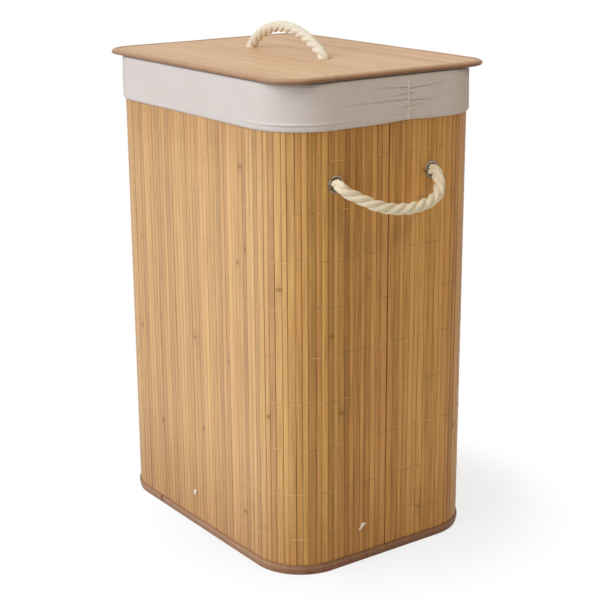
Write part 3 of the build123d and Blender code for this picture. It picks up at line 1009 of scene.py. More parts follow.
@dataclass
class SlatCurtain:
    """Upright slats sewn side by side into a curtain that goes round the basket."""

    outline: Outline
    pitch: float = 7.8 * MM
    gap: float = 0.25 * MM
    variation: float = 0.22
    sequence: float = 2.4
    joint_gap: float = 3.0 * MM
    joint_shown: float = 0.9 * MM
    bottom: float = 0.8 * MM
    top: float = 590.8 * MM
    hole_radius: float = 8.3 * MM
    thread_rows: int = 10
    thread: float = 0.40 * MM
    sunk: float = 0.22 * MM
    tilt: float = math.radians(0.8)
    bow: float = 0.22 * MM
    bow_length: float = 190.0 * MM
    tone: float = 0.52
    tone_spread: float = 0.24
    dark_share: float = 0.05
    # Strength of the painted sheen on the front and back walls
    pale: float = 0.33
    random_seed: int = 11

    def layout(self) -> tuple[Array, Array]:
        """Steps take shares 1 + variation * sin(sequence * i) of the walk, less the joint, which
        the first and last slats half close.

        Returns:
            Walked length to the middle of each slat, and its width.
        """
        length = self.outline.length() - self.joint_gap
        count = round(length / self.pitch)
        share = 1.0 + self.variation * np.sin(self.sequence * np.arange(count))
        step = share * length / share.sum()
        middle = self.joint_gap / 2.0 + np.cumsum(step) - step / 2.0
        closer = np.zeros(count)
        closer[0], closer[-1] = -1.0, 1.0
        fill = (self.joint_gap - self.joint_shown) / 2.0
        return middle + closer * fill / 2.0, step - self.gap + np.abs(closer) * fill

    def build(self) -> None:
        """Build one piece for each wall and corner, then the thread rows."""
        middle, width = self.layout()
        out = self.outline.walk(middle)[1]
        rng = np.random.default_rng(self.random_seed)
        count = len(middle)
        lift = -rng.uniform(0.0, self.sunk, count)
        tilt = rng.normal(0.0, self.tilt, count)
        tone = np.clip(rng.normal(self.tone, self.tone_spread, count), 0.03, 0.99)
        tone[rng.random(count) < self.dark_share] *= 0.35
        # Painted sheen: pale on the front and back walls, none on the handle faces
        pale = self.pale * (1.0 - np.abs(out[:, 0]) ** 1.5)
        seed = rng.random(count)
        slats = (self.outline.at(middle), out, width, lift, tilt, tone, pale, seed)
        runs = np.searchsorted(self.outline.breaks()[0], middle) - 1
        runs[runs == len(WALLS)] = 0
        for run, name in enumerate(WALLS):
            self._wall(name, [numbers[runs == run] for numbers in slats])
        self._threads(middle, np.abs(out[:, 0]), rng)

    def _wall(self, name: str, slats: list[Array]) -> None:
        """Carry the slat section up each slat of a wall; a slat at an eyelet is two lengths, cut
        to z = eyelet height -/+ sqrt(r^2 - (y - y0)^2), and each slat bows a little.

        Args:
            name: The wall's name.
            slats: Place, way out, width, lift, tilt, tone, painted sheen and seed of its slats.
        """
        base, out, width, lift, tilt, *looks = slats
        u, d = strip_section(0.12)
        side = np.stack([-out[:, 1], out[:, 0]], -1)
        reach = u * width[:, None] / 2.0
        depth = d * SLAT_THICKNESS + lift[:, None] + reach * np.tan(tilt)[:, None]
        flat = base[:, None] + reach[..., None] * side[:, None] + depth[..., None] * out[:, None]
        away = np.abs(flat[..., 1:] - EYELET_PLACES).min(-1)
        half = np.sqrt(np.clip(self.hole_radius**2 - away**2, 0.0, None))
        low, high = (np.full(reach.shape, end) for end in (self.bottom, self.top))
        pick, height = cut_strips(low, high, half, np.array([EYELET_HEIGHT]), 11)
        tone, pale, seed = (numbers[pick][:, None, None] for numbers in looks)
        wave = np.sin(height / self.bow_length * 2.0 + seed * 60.0) * np.sin(seed * 91.0)
        bow = self.bow * wave
        points = raised(flat[pick][:, None] + bow[..., None] * side[pick][:, None, None], height)
        nodes = (f"{name}_slats",)
        piece = Piece(f"{name}_bamboo", BAMBOO, Slot.BAMBOO, Body.BASKET, nodes, 40.0)
        surface = Surface(points, ends=Ends.BOTH)
        piece.place(surface, tone=tone, pale=pale, seed=seed, across=u)

    def _threads(self, middle: Array, sideways: Array, rng: np.random.Generator) -> None:
        """Thread rows: over a slat the thread lies on its face, under it is behind it, and in the
        gaps it goes through. It shows most at the front right corner.

        Args:
            middle: Walked length to the middle of each slat.
            sideways: 1 for slats of the handle faces, 0 for those of the front and back.
            rng: Source of the runs over and under.
        """
        count, rows = len(middle), self.thread_rows
        steady = rng.random((rows, count)).cumsum(1) + rng.random((rows, 1)) * 9.0
        bend = self.outline.breaks()[0][7]
        shown = 1.4 * bell(middle - bend - 20.0 * MM, 50.0 * MM) - 0.35 - 0.35 * sideways
        over = np.sin(steady * 2.6) + 0.8 * np.sin(steady * 1.1) + shown > 0.0
        depth = np.where(over, SLAT_THICKNESS + 0.10 * MM, -0.3 * MM)
        places = np.vstack([middle, depth])
        between = 0.5 * (places[:, 1:] + places[:, :-1])
        both = over[:, 1:] & over[:, :-1]
        between[1:][both] = SLAT_THICKNESS - 0.35 * MM
        route = np.empty((rows + 1, 2 * count - 1))
        route[:, 0::2], route[:, 1::2] = places, between
        walked, level = np.broadcast_to(route[0], (rows, 2 * count - 1)), route[1:]
        row = np.arange(rows)[:, None]
        height = FIRST_ROW + ROW_STEP * row + 0.5 * MM * np.sin(walked * 21.0 + row)
        line = raised(self.outline.at(walked, level), height)
        piece = Piece("sewing_thread_rows", TAN_THREAD, Slot.THREAD, Body.BASKET)
        piece.sew(tube(line, self.thread, 6, UP))


def tape(name: str, body: Body, node: str) -> Piece:
    """Piece of binding tape."""
    return Piece(name, BINDING, Slot.BINDING, body, (node,), 80.0)


@dataclass
class CurtainTrim:
    """Backing cloth, bindings, ties and the stiff parts of the basket."""

    face: Outline
    slat_middles: Array
    join_x: float = -94.0 * MM
    tie_height: float = 46.0 * MM
    front_tie_x: float = -8.0 * MM
    side_tie_y: float = -42.0 * MM
    tie_depth: float = 5.1 * MM
    tie_rise: float = 4.1 * MM
    tie_proud: float = 0.60 * MM
    tie_spacing: float = 1.4 * MM
    tie_thread: float = 0.85 * MM

    def build(self) -> None:
        """Build the cloth parts and dress the stiff ones."""
        self._backing()
        self._bottom_binding()
        self._rim_binding()
        self._ties()
        dress_nodes(WIRE, "rim_hoop", "base_hoop")
        dress_nodes(BOARD, "base_board")
        dress_nodes(EYELET, "right_eyelet_washers", "left_eyelet_washers")

    def _backing(self) -> None:
        """Backing cloth: a band 1 mm thick behind the slats."""
        offsets = [-1.6, -1.62, -2.58, -2.58, -1.62]
        heights = [300.0, 1.2, 1.2, 590.4, 590.4]
        surface, _ = ring(self.face, MM * np.array([offsets, heights]))
        nodes = ("curtain_backing",)
        piece = Piece("backing_band", BACKING, Slot.BACKING, Body.BASKET, nodes, 60.0)
        item = piece.place(surface)

    def _bottom_binding(self) -> None:
        """Bottom binding: a tape folded under the curtain, as a soft roll that stands out most in
        its upper third; its top edge wavers, its ends meet on the front face, and it has painted
        light along its ridge and on the wide faces, and painted shade on the handle faces."""
        offsets, heights = profile = MM * np.array(
            [
                [-3.4, -3.5, -3.45, -2.7, -1.2, -0.5, 0.1, 0.5, 0.85, 1.2, 1.45]
                + [1.5, 1.3, 0.85, 0.35, 0.1, 0.05, 0.05, -0.4, -2.2, -2.7, -2.7],
                [12.0, 8.0, 1.3, 0.3, 0.0, 0.2, 0.9, 2.2, 4.0, 6.0, 7.8]
                + [9.4, 10.8, 11.8, 12.3, 12.2, 8.0, 1.6, 0.9, 0.9, 1.5, 11.8],
            ]
        )
        marks, centres, _ = self.face.breaks()
        join_at = marks[6] + self.join_x - centres[6, 0]
        surface, walked = ring(self.face, profile, join_at + np.linspace(-4.0, 4.0, 33) * MM)
        points = surface.points[0]
        out = self.face.walk(walked)[1]
        from_join = walked - join_at
        join = 1.05 * bell(from_join, 1.7 * MM)[:, None]
        outer = (offsets > 0.0) * np.minimum(heights / (2.0 * MM), 1.0)
        points[..., :2] -= (join * outer * 0.8 * MM)[..., None] * out[:, None]
        from_corner = self.face.shortest(walked - marks[7] - 50.0 * MM)
        wide = bell(from_corner, 90.0 * MM) - bell(from_join, 80.0 * MM)
        waver = (wide + 0.25 * np.sin(self.face.turn(walked, 12))) * MM
        points[..., 2] += waver[:, None] * outer * ramp(heights, 0.0, 12.0 * MM)
        front = np.abs(out[:, 1:]) ** 3
        ridge = bell(heights - 8.9 * MM, 1.4 * MM) * (offsets > 0.2 * MM)
        # Painted light along the ridge and on the front and back faces
        worn = 0.04 + 0.31 * front + (0.36 + 0.10 * front) * ridge
        # The dark join where the ends meet, and painted shade on the handle faces
        shade = np.maximum(join, 0.12 * (1.0 - front))
        piece = tape("bottom_tape", Body.BASKET, "bottom_binding")
        item = piece.place(surface, shade=shade, worn=worn)
        rows = stitch_row(
            self.face,
            offset=1.2 * MM,
            height=6.4 * MM,
            pitch=4.2 * MM,
            size=0.24 * MM,
            rise=0.14 * MM,
        )
        Piece("bottom_tape_stitches", BROWN_THREAD, Slot.BINDING, Body.BASKET).sew(rows)

    def _rim_binding(self) -> None:
        """Rim binding: the same tape folded over the top edge, round the rim hoop."""
        profile = MM * np.array(
            [
                [0.15, 0.6, 0.95, 0.95, 0.7, -0.4, -2.8, -5.0, -6.4]
                + [-6.9, -7.0, -6.4, -5.2, -5.0, -2.9, -2.7, -0.2, 0.15],
                [575.6, 575.7, 576.6, 589.0, 590.6, 591.5, 591.6, 591.5, 590.4]
                + [588.7, 586.0, 584.6, 584.2, 576.0, 575.6, 576.0, 590.9, 589.0],
            ]
        )
        surface, _ = ring(self.face, profile)
        piece = tape("rim_tape", Body.BASKET, "rim_binding")
        item = piece.place(surface, shade=np.zeros(1), worn=np.zeros(1))

    def _ties(self) -> None:
        """Thread ties: three loops of thread side by side round the base hoop and the wall, each
        a rounded rectangle in a plane square to the wall, that leans most on the handle faces."""
        turn = angles(40)
        square = np.stack([np.cos(turn), np.sin(turn)], -1)
        square = np.sign(square) * np.abs(square) ** 0.45
        depth, rise = self.tie_depth, self.tie_rise
        loops, sides = [], []
        for place, out in self.tie_places():
            reach = place - out * (depth - self.tie_proud) + depth * square[:, :1] * out
            side = np.array([-out[1], out[0]])
            lean = 0.75 if out[0] != 0.0 else 0.12
            for shift in (-1.0, 0.0, 1.0):
                aside = lean * rise * square[:, 1:] * (1.0 + 0.25 * shift)
                aside = shift * self.tie_spacing + aside
                tall = self.tie_height + rise * square[:, 1] * (1.0 - 0.12 * abs(shift))
                loops.append(raised(reach + side * aside, tall))
                sides.append([*side, 0.0])
        line = np.stack(loops)
        closed = np.concatenate([line[:, -2:], line, line[:, :2]], 1)
        points = tube(closed, self.tie_thread, 8, np.array(sides)[:, None, :])[:, 2:-2]
        nodes = ("base_ties",)
        piece = Piece("hoop_ties", WHITE_THREAD, Slot.THREAD, Body.BASKET, nodes, 80.0)
        piece.place(Surface(points, True))

    def tie_places(self) -> list[tuple[Array, Array]]:
        """Ties go round the slats that are nearest to the wanted places.

        Returns:
            Where each tie comes out of the wall's face, and the way it faces.
        """
        half = np.array([self.face.half_x, self.face.half_y])
        wanted = np.array([self.front_tie_x, self.side_tie_y])
        places = []
        for out in np.array([[0.0, -1.0], [0.0, 1.0], [1.0, 0.0], [-1.0, 0.0]]):
            aim = np.where(out == 0.0, wanted, half * out)
            near = self.slat_middles[np.linalg.norm(self.slat_middles - aim, axis=1).argmin()]
            places.append((np.where(out == 0.0, near, aim), out))
        return places


@dataclass
class Eyelets:
    """Metal rings that the side ropes pass through, two on each handle face."""

    face_x: float = 200.0 * MM

    def build(self) -> None:
        """Turn the rolled lip's profile round each eyelet's axis."""
        radius, depth = MM * np.array(
            [
                [7.35, 7.35, 7.6, 8.2, 9.0, 9.8, 10.35, 10.5, 10.4, 8.4, 8.1, 8.1],
                [-3.4, 0.55, 0.95, 1.22, 1.3, 1.15, 0.8, 0.4, 0.16, 0.16, -0.2, -3.4],
            ]
        )
        turn = angles(56)[:, None]
        y = EYELET_PLACES[:, None, None] + radius * np.cos(turn)
        z = EYELET_HEIGHT + radius * np.sin(turn)
        for name, side in (("right", 1.0), ("left", -1.0)):
            points = np.stack(np.broadcast_arrays(side * (self.face_x + depth), y, z), -1)
            nodes = (f"{name}_eyelets",)
            piece = Piece(f"{name}_rings", EYELET, Slot.EYELET, Body.BASKET, nodes)
            piece.place(Surface(points, True))


@dataclass
class RopeHandle:
    """A laid rope of three strands along a route."""

    name: str
    finish: RopeFinish
    route: Array
    plane_normal: Point
    node: str
    bodies: tuple[Body, Body]
    bend: tuple[Point, Point]
    diameter: float = 14.0 * MM
    lay: float = 46.0 * MM

    def line(self) -> Array:
        """Read points from the route's NURBS spline and space them evenly.

        Returns:
            Points of the rope's middle line, about 1 mm apart.
        """
        curve = bpy.data.curves.new(f"{self.name}_route", "CURVE")
        curve.dimensions, curve.resolution_u = "3D", 24
        spline = curve.splines.new("NURBS")
        spline.points.add(len(self.route) - 1)
        flat = np.append(self.route, np.ones((len(self.route), 1)), axis=1)
        spline.points.foreach_set("co", flat.astype(np.float32).ravel())
        spline.order_u, spline.use_endpoint_u = 3, True
        holder = link(curve.name, curve)
        bpy.context.view_layer.update()
        shape = holder.evaluated_get(bpy.context.evaluated_depsgraph_get())
        mesh = bpy.data.meshes.new_from_object(shape)
        raw = np.empty(len(mesh.vertices) * 3)
        mesh.vertices.foreach_get("co", raw)
        raw = raw.reshape(-1, 3)
        bpy.data.objects.remove(holder)
        bpy.data.curves.remove(curve)
        bpy.data.meshes.remove(mesh)
        walked = lengths(raw)
        even = np.linspace(0.0, walked[-1], int(walked[-1] / MM) + 1)
        return np.stack([np.interp(even, walked, raw[:, axis]) for axis in range(3)], -1)

    def build(self) -> None:
        line = self.line()
        walked = lengths(line)
        strands = lay_strands(line, np.array(self.plane_normal), self.diameter, walked / self.lay)
        around = np.linspace(0.0, 1.0, strands.shape[2] + 1)
        surface = Surface(strands, ends=Ends.BOTH, across=around, along=walked)
        item = Piece(self.name, self.finish, Slot.ROPE, None, (self.node,), 80.0).place(surface)
        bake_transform(item)


def lay_strands(line: Array, reference: Array, diameter: float, turns: Array) -> Array:
    """Lay three strands round a line, left-handed: strand k's middle is the line plus a share of
    the diameter out at the angle 2 pi (k / 3 + turns), and its section is a circle.

    Args:
        line: Middle line of the rope, (n, 3).
        reference: A direction that the line never follows.
        diameter: The rope's diameter.
        turns: Turns that a strand has made at each point.

    Returns:
        Points, (3, n, 14, 3).
    """
    ahead = unit(np.gradient(line, axis=0))
    side = unit(np.cross(ahead, reference))
    up = np.cross(side, ahead)
    angle = FULL_TURN * (np.arange(3)[:, None] / 3.0 + turns)
    out = np.cos(angle)[..., None] * side + np.sin(angle)[..., None] * up
    return tube(line + STRAND_OUT * diameter * out, STRAND_RADIUS * diameter, 14, out)


@dataclass
class StopperKnots:
    """Overhand knots that stop the rope ends: a trefoil line (sin t + 2 sin 2t, cos t - 2 cos 2t,
    -sin 3t), drawn tight."""

    name: str
    centres: Array
    axis: int
    node: str
    body: Body
    radius: float = 16.0 * MM
    length: float = 26.0 * MM
    rope: float = 10.4 * MM
    strand_turns: int = 6

    def build(self) -> None:
        """Lay strands along each knot's line and turn it to the knot's axis."""
        t = angles(150)
        spread = (self.radius - self.rope / 2.0) / 3.0
        x = spread * (np.sin(t) + 2.0 * np.sin(2.0 * t))
        y = spread * (np.cos(t) - 2.0 * np.cos(2.0 * t))
        z = -(self.length - self.rope) / 2.0 * np.sin(3.0 * t)
        line = np.stack([x, y, z], -1)
        line = np.concatenate([line[-3:], line, line[:3]])
        turns = self.strand_turns * np.arange(len(line)) / len(line)
        grids = np.roll(lay_strands(line, UP, self.rope, turns)[:, 3:-3], self.axis + 1, axis=-1)
        points = grids[None] + self.centres[:, None, None, None, :]
        around = np.linspace(0.0, 1.0, grids.shape[2] + 1)
        surface = Surface(points, True, across=around, along=lengths(line)[3:-2])
        piece = Piece(self.name, ROPE, Slot.ROPE, self.body, (self.node,), 80.0)
        piece.place(surface)


@dataclass
class Liner:
    """Cloth liner: a bag that hangs in the basket and folds over the rim into a cuff.

    Each crease has the side of the seam that it runs to, its height in mm, slope, length in mm
    and depth.
    """

    face: Outline
    samples: int = 300
    seam_y: float = 22.0 * MM
    seam_stitches: int = 19
    cloth: float = 1.0 * MM
    lower_edge: float = 539.5 * MM
    hem_height: float = 545.6 * MM
    floor: float = 53.4 * MM
    random_seed: int = 5
    creases: tuple[tuple[float, ...], ...] = (
        (-1.0, 578.0, 0.05, 50.0, 0.95),
        (-1.0, 571.4, -0.10, 32.0, 0.65),
        (-1.0, 564.6, 0.0, 110.0, 0.80),
        (-1.0, 556.7, -0.10, 10.0, 0.95),
        (1.0, 576.7, 0.05, 60.0, 1.00),
        (1.0, 571.3, 0.0, 12.0, 0.60),
        (1.0, 563.1, -0.03, 48.0, 0.95),
        (1.0, 556.2, 0.08, 24.0, 0.75),
    )

    def seam(self) -> float:
        """Walked length to the cuff's seam."""
        return self.seam_y - self.face.start_y

    def from_seam(self, walked: Array) -> Array:
        """Walked distance from the cuff's seam."""
        return self.face.shortest(walked - self.seam())

    def at_corner(self, walked: Array) -> Array:
        """Share of the hem's fullness: 1 at the middle of the front right corner."""
        marks = self.face.breaks()[0]
        return bell(self.face.shortest(walked - 0.5 * (marks[7] + marks[8])), 55.0 * MM)

    def cuff_face(self, heights: Array) -> Array:
        """The cuff's distance from the slats: it springs out over the lowest 4 mm, then leans in.

        Args:
            heights: Heights on the cuff.

        Returns:
            Offsets of the cloth's middle.
        """
        place = (heights - self.lower_edge) / (53.0 * MM)
        spring = 1.0 - (1.0 - ramp(place, 0.0, 0.075)) ** 2
        return (0.75 + 1.75 * spring - 0.5 * ramp(place, 0.3, 1.0)) * MM

    def profile(self) -> tuple[Array, Array, Array]:
        """Profile of the cloth's middle, from the cuff's lower edge over the rim to the floor.

        Returns:
            Offsets from the slats' face, heights, and how far the bag narrows in X.
        """
        rise = np.array([0.0, 0.7, 1.8, 3.2, 4.6, 5.6, 6.4, 7.2, 8.0, 8.8, 9.8, 10.8])
        cuff = np.concatenate([self.lower_edge + rise * MM, np.arange(550.8, 588.0, 0.7) * MM])
        fold_out, fold_up = MM * np.array(
            [
                [1.85, 1.5, 0.8, -0.6, -2.6, -4.6, -5.9, -6.8, -7.2],
                [588.8, 590.4, 591.7, 592.3, 592.4, 592.3, 591.8, 590.6, 588.6],
            ]
        )
        bag = np.concatenate([np.arange(584.0, 74.0, -18.0), [64.0, 59.5, 56.2, 54.2]])
        inner = np.full(len(bag), -7.3)
        inner[-3:] = (-7.7, -8.9, -11.2)
        narrow = 23.3 * ramp(bag, 561.5, 495.5)
        return (
            np.concatenate([self.cuff_face(cuff), fold_out, inner * MM]),
            np.concatenate([cuff, fold_up, bag * MM]),
            np.concatenate([np.zeros(len(cuff) + len(fold_out)), narrow]) * MM,
        )

    def crease_places(self, walked: Array, heights: Array) -> tuple[Array, Array]:
        """Strength of each crease, strongest at the seam, and distance up from its line.

        Args:
            walked: Walked length of each column.
            heights: Height of each row.

        Returns:
            Strengths and distances, (creases, rows, columns).
        """
        side, level, slope, length, depth = np.array(self.creases).T[:, :, None, None]
        reach = side * self.from_seam(walked)[None]
        tail = np.clip(1.0 - reach / (length * MM), 0.0, 1.0) ** 0.6
        fade = tail * (0.62 + 0.38 * np.exp(-reach.clip(0.0) / (12.0 * MM))) * (reach > 1.4 * MM)
        return depth * fade, heights[:, None] - level * MM - slope * reach

    def folds(self, walked: Array, heights: Array) -> Array:
        """Painted shade in the creases and along the hem, to 1, and below 0 for a painted highlight
        on the hem's light ridge.

        Args:
            walked: Walked length of each column.
            heights: Height of each row.

        Returns:
            Amounts, (rows, columns).
        """
        strength, over = self.crease_places(walked, heights)
        dark = (strength * bell(over, 0.75 * MM)).sum(0)
        corner = self.at_corner(walked)
        above = heights[:, None] - self.hem_height
        # Painted shade along the hem, strongest at the front right corner, less a painted highlight
        # on the ridge above it
        hem = (0.10 + 0.55 * corner) * bell(above, 0.8 * MM)
        return np.clip(dark + hem - 0.35 * corner * bell(above - 2.7 * MM, 1.0 * MM), -0.4, 1.0)

    def wrinkles(self, walked: Array, heights: Array, on_cuff: Array) -> Array:
        """Displacement outwards. On the cuff: slow waves; a hem crease with a ridge above it, that
        show most at the front right corner; a seam ridge; and creases that run from the seam, each
        a narrow dip with a low ridge above it. In the bag: upright folds that only go inwards.

        Args:
            walked: Walked length of each column.
            heights: Height of each row.
            on_cuff: 1 for rows on the cuff, 0 for rows in the bag.

        Returns:
            Displacements, (rows, columns).
        """
        s, z, cuff = walked[None], heights[:, None], on_cuff[:, None]
        corner = self.at_corner(s)
        turn = self.face.turn
        slow = 0.32 * np.sin(turn(s, 6) + 1.3) + 0.25 * np.sin(turn(s, 11) + z * 60.0)
        above = z - self.hem_height
        hem = 0.22 / (1.0 + np.exp(above / (0.25 * MM)))
        hem = hem - (0.25 + 0.80 * corner) * bell(above, 0.9 * MM)
        hem = hem + (0.08 + 0.75 * corner) * bell(above - 2.4 * MM, 1.3 * MM)
        away = self.from_seam(s)
        seam = 0.40 * bell(away, 1.2 * MM) - 0.45 * bell(np.abs(away) - 2.8 * MM, 1.3 * MM)
        strength, over = self.crease_places(walked, heights)
        dip = 0.7 * bell(over - 2.0 * MM, 1.4 * MM) - bell(over, 0.9 * MM)
        shell = (slow + hem + seam + 1.3 * (strength * dip).sum(0)) * cuff
        drop = ramp(z, 575.0 * MM, 455.0 * MM) * (1.0 - cuff)
        folds = 1.0 + np.sin(turn(s, 15) + 1.9 * np.sin(turn(s, 4)) + 2.4 * z)
        small = 1.0 + np.sin(turn(s, 35) + 7.0 * np.sin(z * 9.0 + turn(s, 1)))
        return (shell - drop * (1.1 * folds + 0.35 * small)) * MM

    def build(self) -> None:
        """Build the liner as one sheet, down to a floor that closes in the middle; the seam pulls
        the cuff's lower edge up a little."""
        offsets, heights, narrow = self.profile()
        length = self.face.length()
        near = np.concatenate([np.linspace(-9.0, 9.0, 37), np.linspace(-81.0, 81.0, 55)]) * MM
        walked = np.concatenate([self.face.rows(self.samples), (self.seam() + near) % length])
        walked = np.unique(np.round(walked, 7))
        centre, out = self.face.walk(walked)
        on_cuff = (np.arange(len(heights)) < np.argmax(heights)).astype(float)
        moved = offsets[:, None] + self.wrinkles(walked, heights, on_cuff)
        flat_x = self.face.half_x - self.face.radius
        squeeze = np.stack([1.0 - narrow / flat_x, np.ones(len(narrow))], -1)
        flat = centre[None] * squeeze[:, None] + (self.face.radius + moved)[..., None] * out[None]
        pull = 1.7 * MM * bell(self.from_seam(walked), 28.0 * MM)
        low = ramp(heights, 558.0 * MM, 540.0 * MM) * on_cuff
        wall = raised(flat, heights[:, None] + low[:, None] * pull)
        share = np.array([0.96, 0.88, 0.76, 0.60, 0.42, 0.24, 0.08, 0.005])[:, None]
        ground = flat[-1][None] * share[..., None]
        crumple = np.sin(ground[..., 0] * 61.0 + 2.0 * np.sin(ground[..., 1] * 37.0))
        level = self.floor + 0.45 * MM * (1.0 + crumple) * (1.0 - share**4)
        points = np.concatenate([wall, raised(ground, level)])
        across, along = np.append(walked, length), lengths(points[:, 0])
        surface = Surface(points, False, True, Ends.LAST, across, along, len(wall))
        nodes = ("liner_cuff", "liner_bag_walls", "liner_bag_floor")
        piece = Piece("liner_bag", LINEN, Slot.LINER, Body.LINER, nodes, 70.0)
        # Painted shade in the cuff's creases and hem, and a painted highlight on the hem's ridge
        fold = np.zeros(points.shape[:2])
        fold[: len(wall)] = self.folds(walked, heights) * on_cuff[:, None]
        item = piece.place(surface, self.cloth, fold=fold)
        rows = stitch_row(
            self.face,
            offset=self._hem_face,
            height=self.hem_height,
            pitch=3.4 * MM,
            size=0.22 * MM,
            rise=0.14 * MM,
        )
        for name, threads in (("hem", rows), ("seam", self._seam_stitches())):
            Piece(f"cuff_{name}_stitches", WHITE_THREAD, Slot.LINER, Body.LINER).sew(threads)

    def _outer_face(self, walked: Array, heights: Array) -> Array:
        """Offset of the cuff's outer face, (rows, columns)."""
        moved = self.wrinkles(walked, heights, np.ones(len(heights)))
        return self.cuff_face(heights)[:, None] + moved + self.cloth / 2.0

    def _hem_face(self, walked: Array) -> Array:
        """Offset of the cuff's outer face along the hem."""
        return self._outer_face(walked.ravel(), np.array([self.hem_height])).reshape(walked.shape)

    def _seam_stitches(self) -> Array:
        """Uneven zigzag stitches up the seam: they lean left and right by turns, each with its
        own length and place, and dip at their ends.

        Returns:
            Points, (stitches, 5, 6, 3).
        """
        rng = np.random.default_rng(self.random_seed)
        count = self.seam_stitches
        level = np.linspace(541.6, 585.6, count) * MM + rng.uniform(-0.5, 0.5, count) * MM
        lean = np.where(np.arange(count) % 2, 1.0, -1.0)[:, None]
        face = self.face.half_x + self._outer_face(np.array([self.seam()]), level)
        x = face + 0.40 * MM * (1.0 - 2.0 * STITCH**2)
        y = self.seam_y + STITCH * rng.uniform(1.3, 2.4, (count, 1)) * MM
        y = y + (lean + rng.normal(0.0, 0.4, (count, 1))) * 0.9 * MM
        z = level[:, None] + STITCH * lean * rng.uniform(0.3, 1.2, (count, 1)) * MM
        return tube(np.stack([x, y, z], -1), 0.46 * MM * STITCH_SIZE, 6, UP)


@dataclass
class Lid:
    """Loose lid: level slats on a board, bound round the edge with tape, lined underneath."""

    edge: Outline
    slats: int = 41
    slat_gap: float = 0.12 * MM
    hole_radius: float = 7.2 * MM
    slat_inset: float = 4.1 * MM
    sunk: float = 0.08 * MM
    sway: float = 0.12 * MM
    random_seed: int = 23

    def build(self) -> None:
        """Build the slats, the binding and the lining, and dress the board."""
        self._slats()
        self._binding()
        self._lining()
        dress_nodes(BOARD, "lid_board")

    def reach(self, y: Array, inset: float) -> Array:
        """Half length of the lid at y: straight, then hx - r + sqrt(r^2 - (|y| - hy + r)^2).

        Args:
            y: Places across the lid.
            inset: Distance in from the lid's edge.

        Returns:
            Half lengths along X.
        """
        radius = self.edge.radius - inset
        over = np.clip(np.abs(y) - (self.edge.half_y - self.edge.radius), 0.0, radius)
        return self.edge.half_x - self.edge.radius + np.sqrt(radius**2 - over**2)

    def _slats(self) -> None:
        """Carry the slat section along X between the ends that the lid's outline gives; a slat at
        the rope is three lengths, and each slat sways a little."""
        low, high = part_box("lid_slats")
        u, d = strip_section(0.05)
        rng = np.random.default_rng(self.random_seed)
        first_y, last_y = low.y + self.slat_inset, high.y - self.slat_inset
        pitch = (last_y - first_y) / self.slats
        middle = first_y + (np.arange(self.slats) + 0.5) * pitch
        y = middle[:, None] + u * (pitch - self.slat_gap) / 2.0
        depth = d * (high.z - low.z) - rng.uniform(0.0, self.sunk, self.slats)[:, None]
        end = self.reach(y, 0.9 * MM + self.slat_inset)
        half = np.sqrt(np.clip(self.hole_radius**2 - (y - LID_HOLE_Y) ** 2, 0.0, None))
        pick, x = cut_strips(-end, end, half, LID_HOLES, 13)
        tone = np.clip(rng.normal(0.5, 0.16, self.slats), 0.0, 1.0)[pick][:, None, None]
        seed = rng.random(self.slats)[pick][:, None, None]
        sway = self.sway * np.sin(x * 31.0 + seed * 50.0)
        tall = np.broadcast_to((low.z + depth)[pick][:, None], x.shape)
        points = np.stack([x, y[pick][:, None] + sway, tall], -1)
        nodes = ("lid_slats",)
        piece = Piece("lid_bamboo", LID_BAMBOO, Slot.LID_BAMBOO, Body.LID, nodes, 40.0)
        piece.place(Surface(points, ends=Ends.BOTH), tone=tone, seed=seed, across=u)

    def _binding(self) -> None:
        """Lid binding: a tape folded round the edge, that slopes down from the slats to a round
        nose and turns under; it has painted light on its upward slope and along the front and back,
        and painted shade underneath."""
        _, heights = profile = MM * np.array(
            [
                [-8.0, -7.5, -6.2, -4.6, -3.2, -2.0, -1.05, -0.4, -0.05, 0.05, -0.1, -0.55, -1.4]
                + [-2.6, -4.0, -10.0, -10.0, -3.0, -1.5, -0.9, -1.5, -2.7, -4.0, -5.4, -7.8],
                [599.3, 599.6, 599.85, 599.8, 599.5, 599.0, 598.35, 597.6, 596.8, 596.1, 595.4]
                + [594.65, 594.05, 593.55, 593.25, 593.2, 593.7, 593.9, 594.5, 596.9, 597.7]
                + [598.4, 599.0, 599.2, 599.2],
            ]
        )
        surface, walked = ring(self.edge, profile)
        turn = self.edge.turn
        wave = 0.10 * MM * np.sin(turn(walked, 10)) * np.sin(turn(walked, 3) + 1.0)
        surface.points[0, ..., 2] += wave[:, None] * (heights > 597.0 * MM)
        # Painted light: lighter along the front and back and on the slope that faces up
        front = 0.30 * (1.0 - np.abs(self.edge.walk(walked)[1][:, :1]) ** 1.5)
        worn = 0.12 + front + (0.88 - front) * ramp(heights, 596.2 * MM, 599.4 * MM)
        # Painted shade under the nose
        shade = 0.70 * ramp(heights, 594.9 * MM, 593.9 * MM)
        piece = tape("lid_tape", Body.LID, "lid_binding")
        item = piece.place(surface, shade=shade, worn=worn)
        rows = stitch_row(
            self.edge,
            offset=-0.02 * MM,
            height=596.0 * MM,
            pitch=4.0 * MM,
            size=0.2 * MM,
            rise=0.1 * MM,
        )
        Piece("lid_tape_stitches", BROWN_THREAD, Slot.BINDING, Body.LID).sew(rows)

    def _lining(self) -> None:
        """Lining: the lid's outline shrunk towards its middle in rings, a sheet 0.5 mm thick."""
        low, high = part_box("lid_lining")
        share = np.linspace(1.0, 0.0, 15)[:, None, None]
        share[-1] = 0.004
        flat = self.edge.at(self.edge.rows(200), -1.1 * MM)[None] * share
        surface = Surface(raised(flat, (low.z + high.z) / 2.0), ends=Ends.LAST, level_from=0)
        piece = Piece("lid_underside", LINING, Slot.LINER, Body.LID, ("lid_lining",))
        item = piece.place(surface, 0.5 * MM)


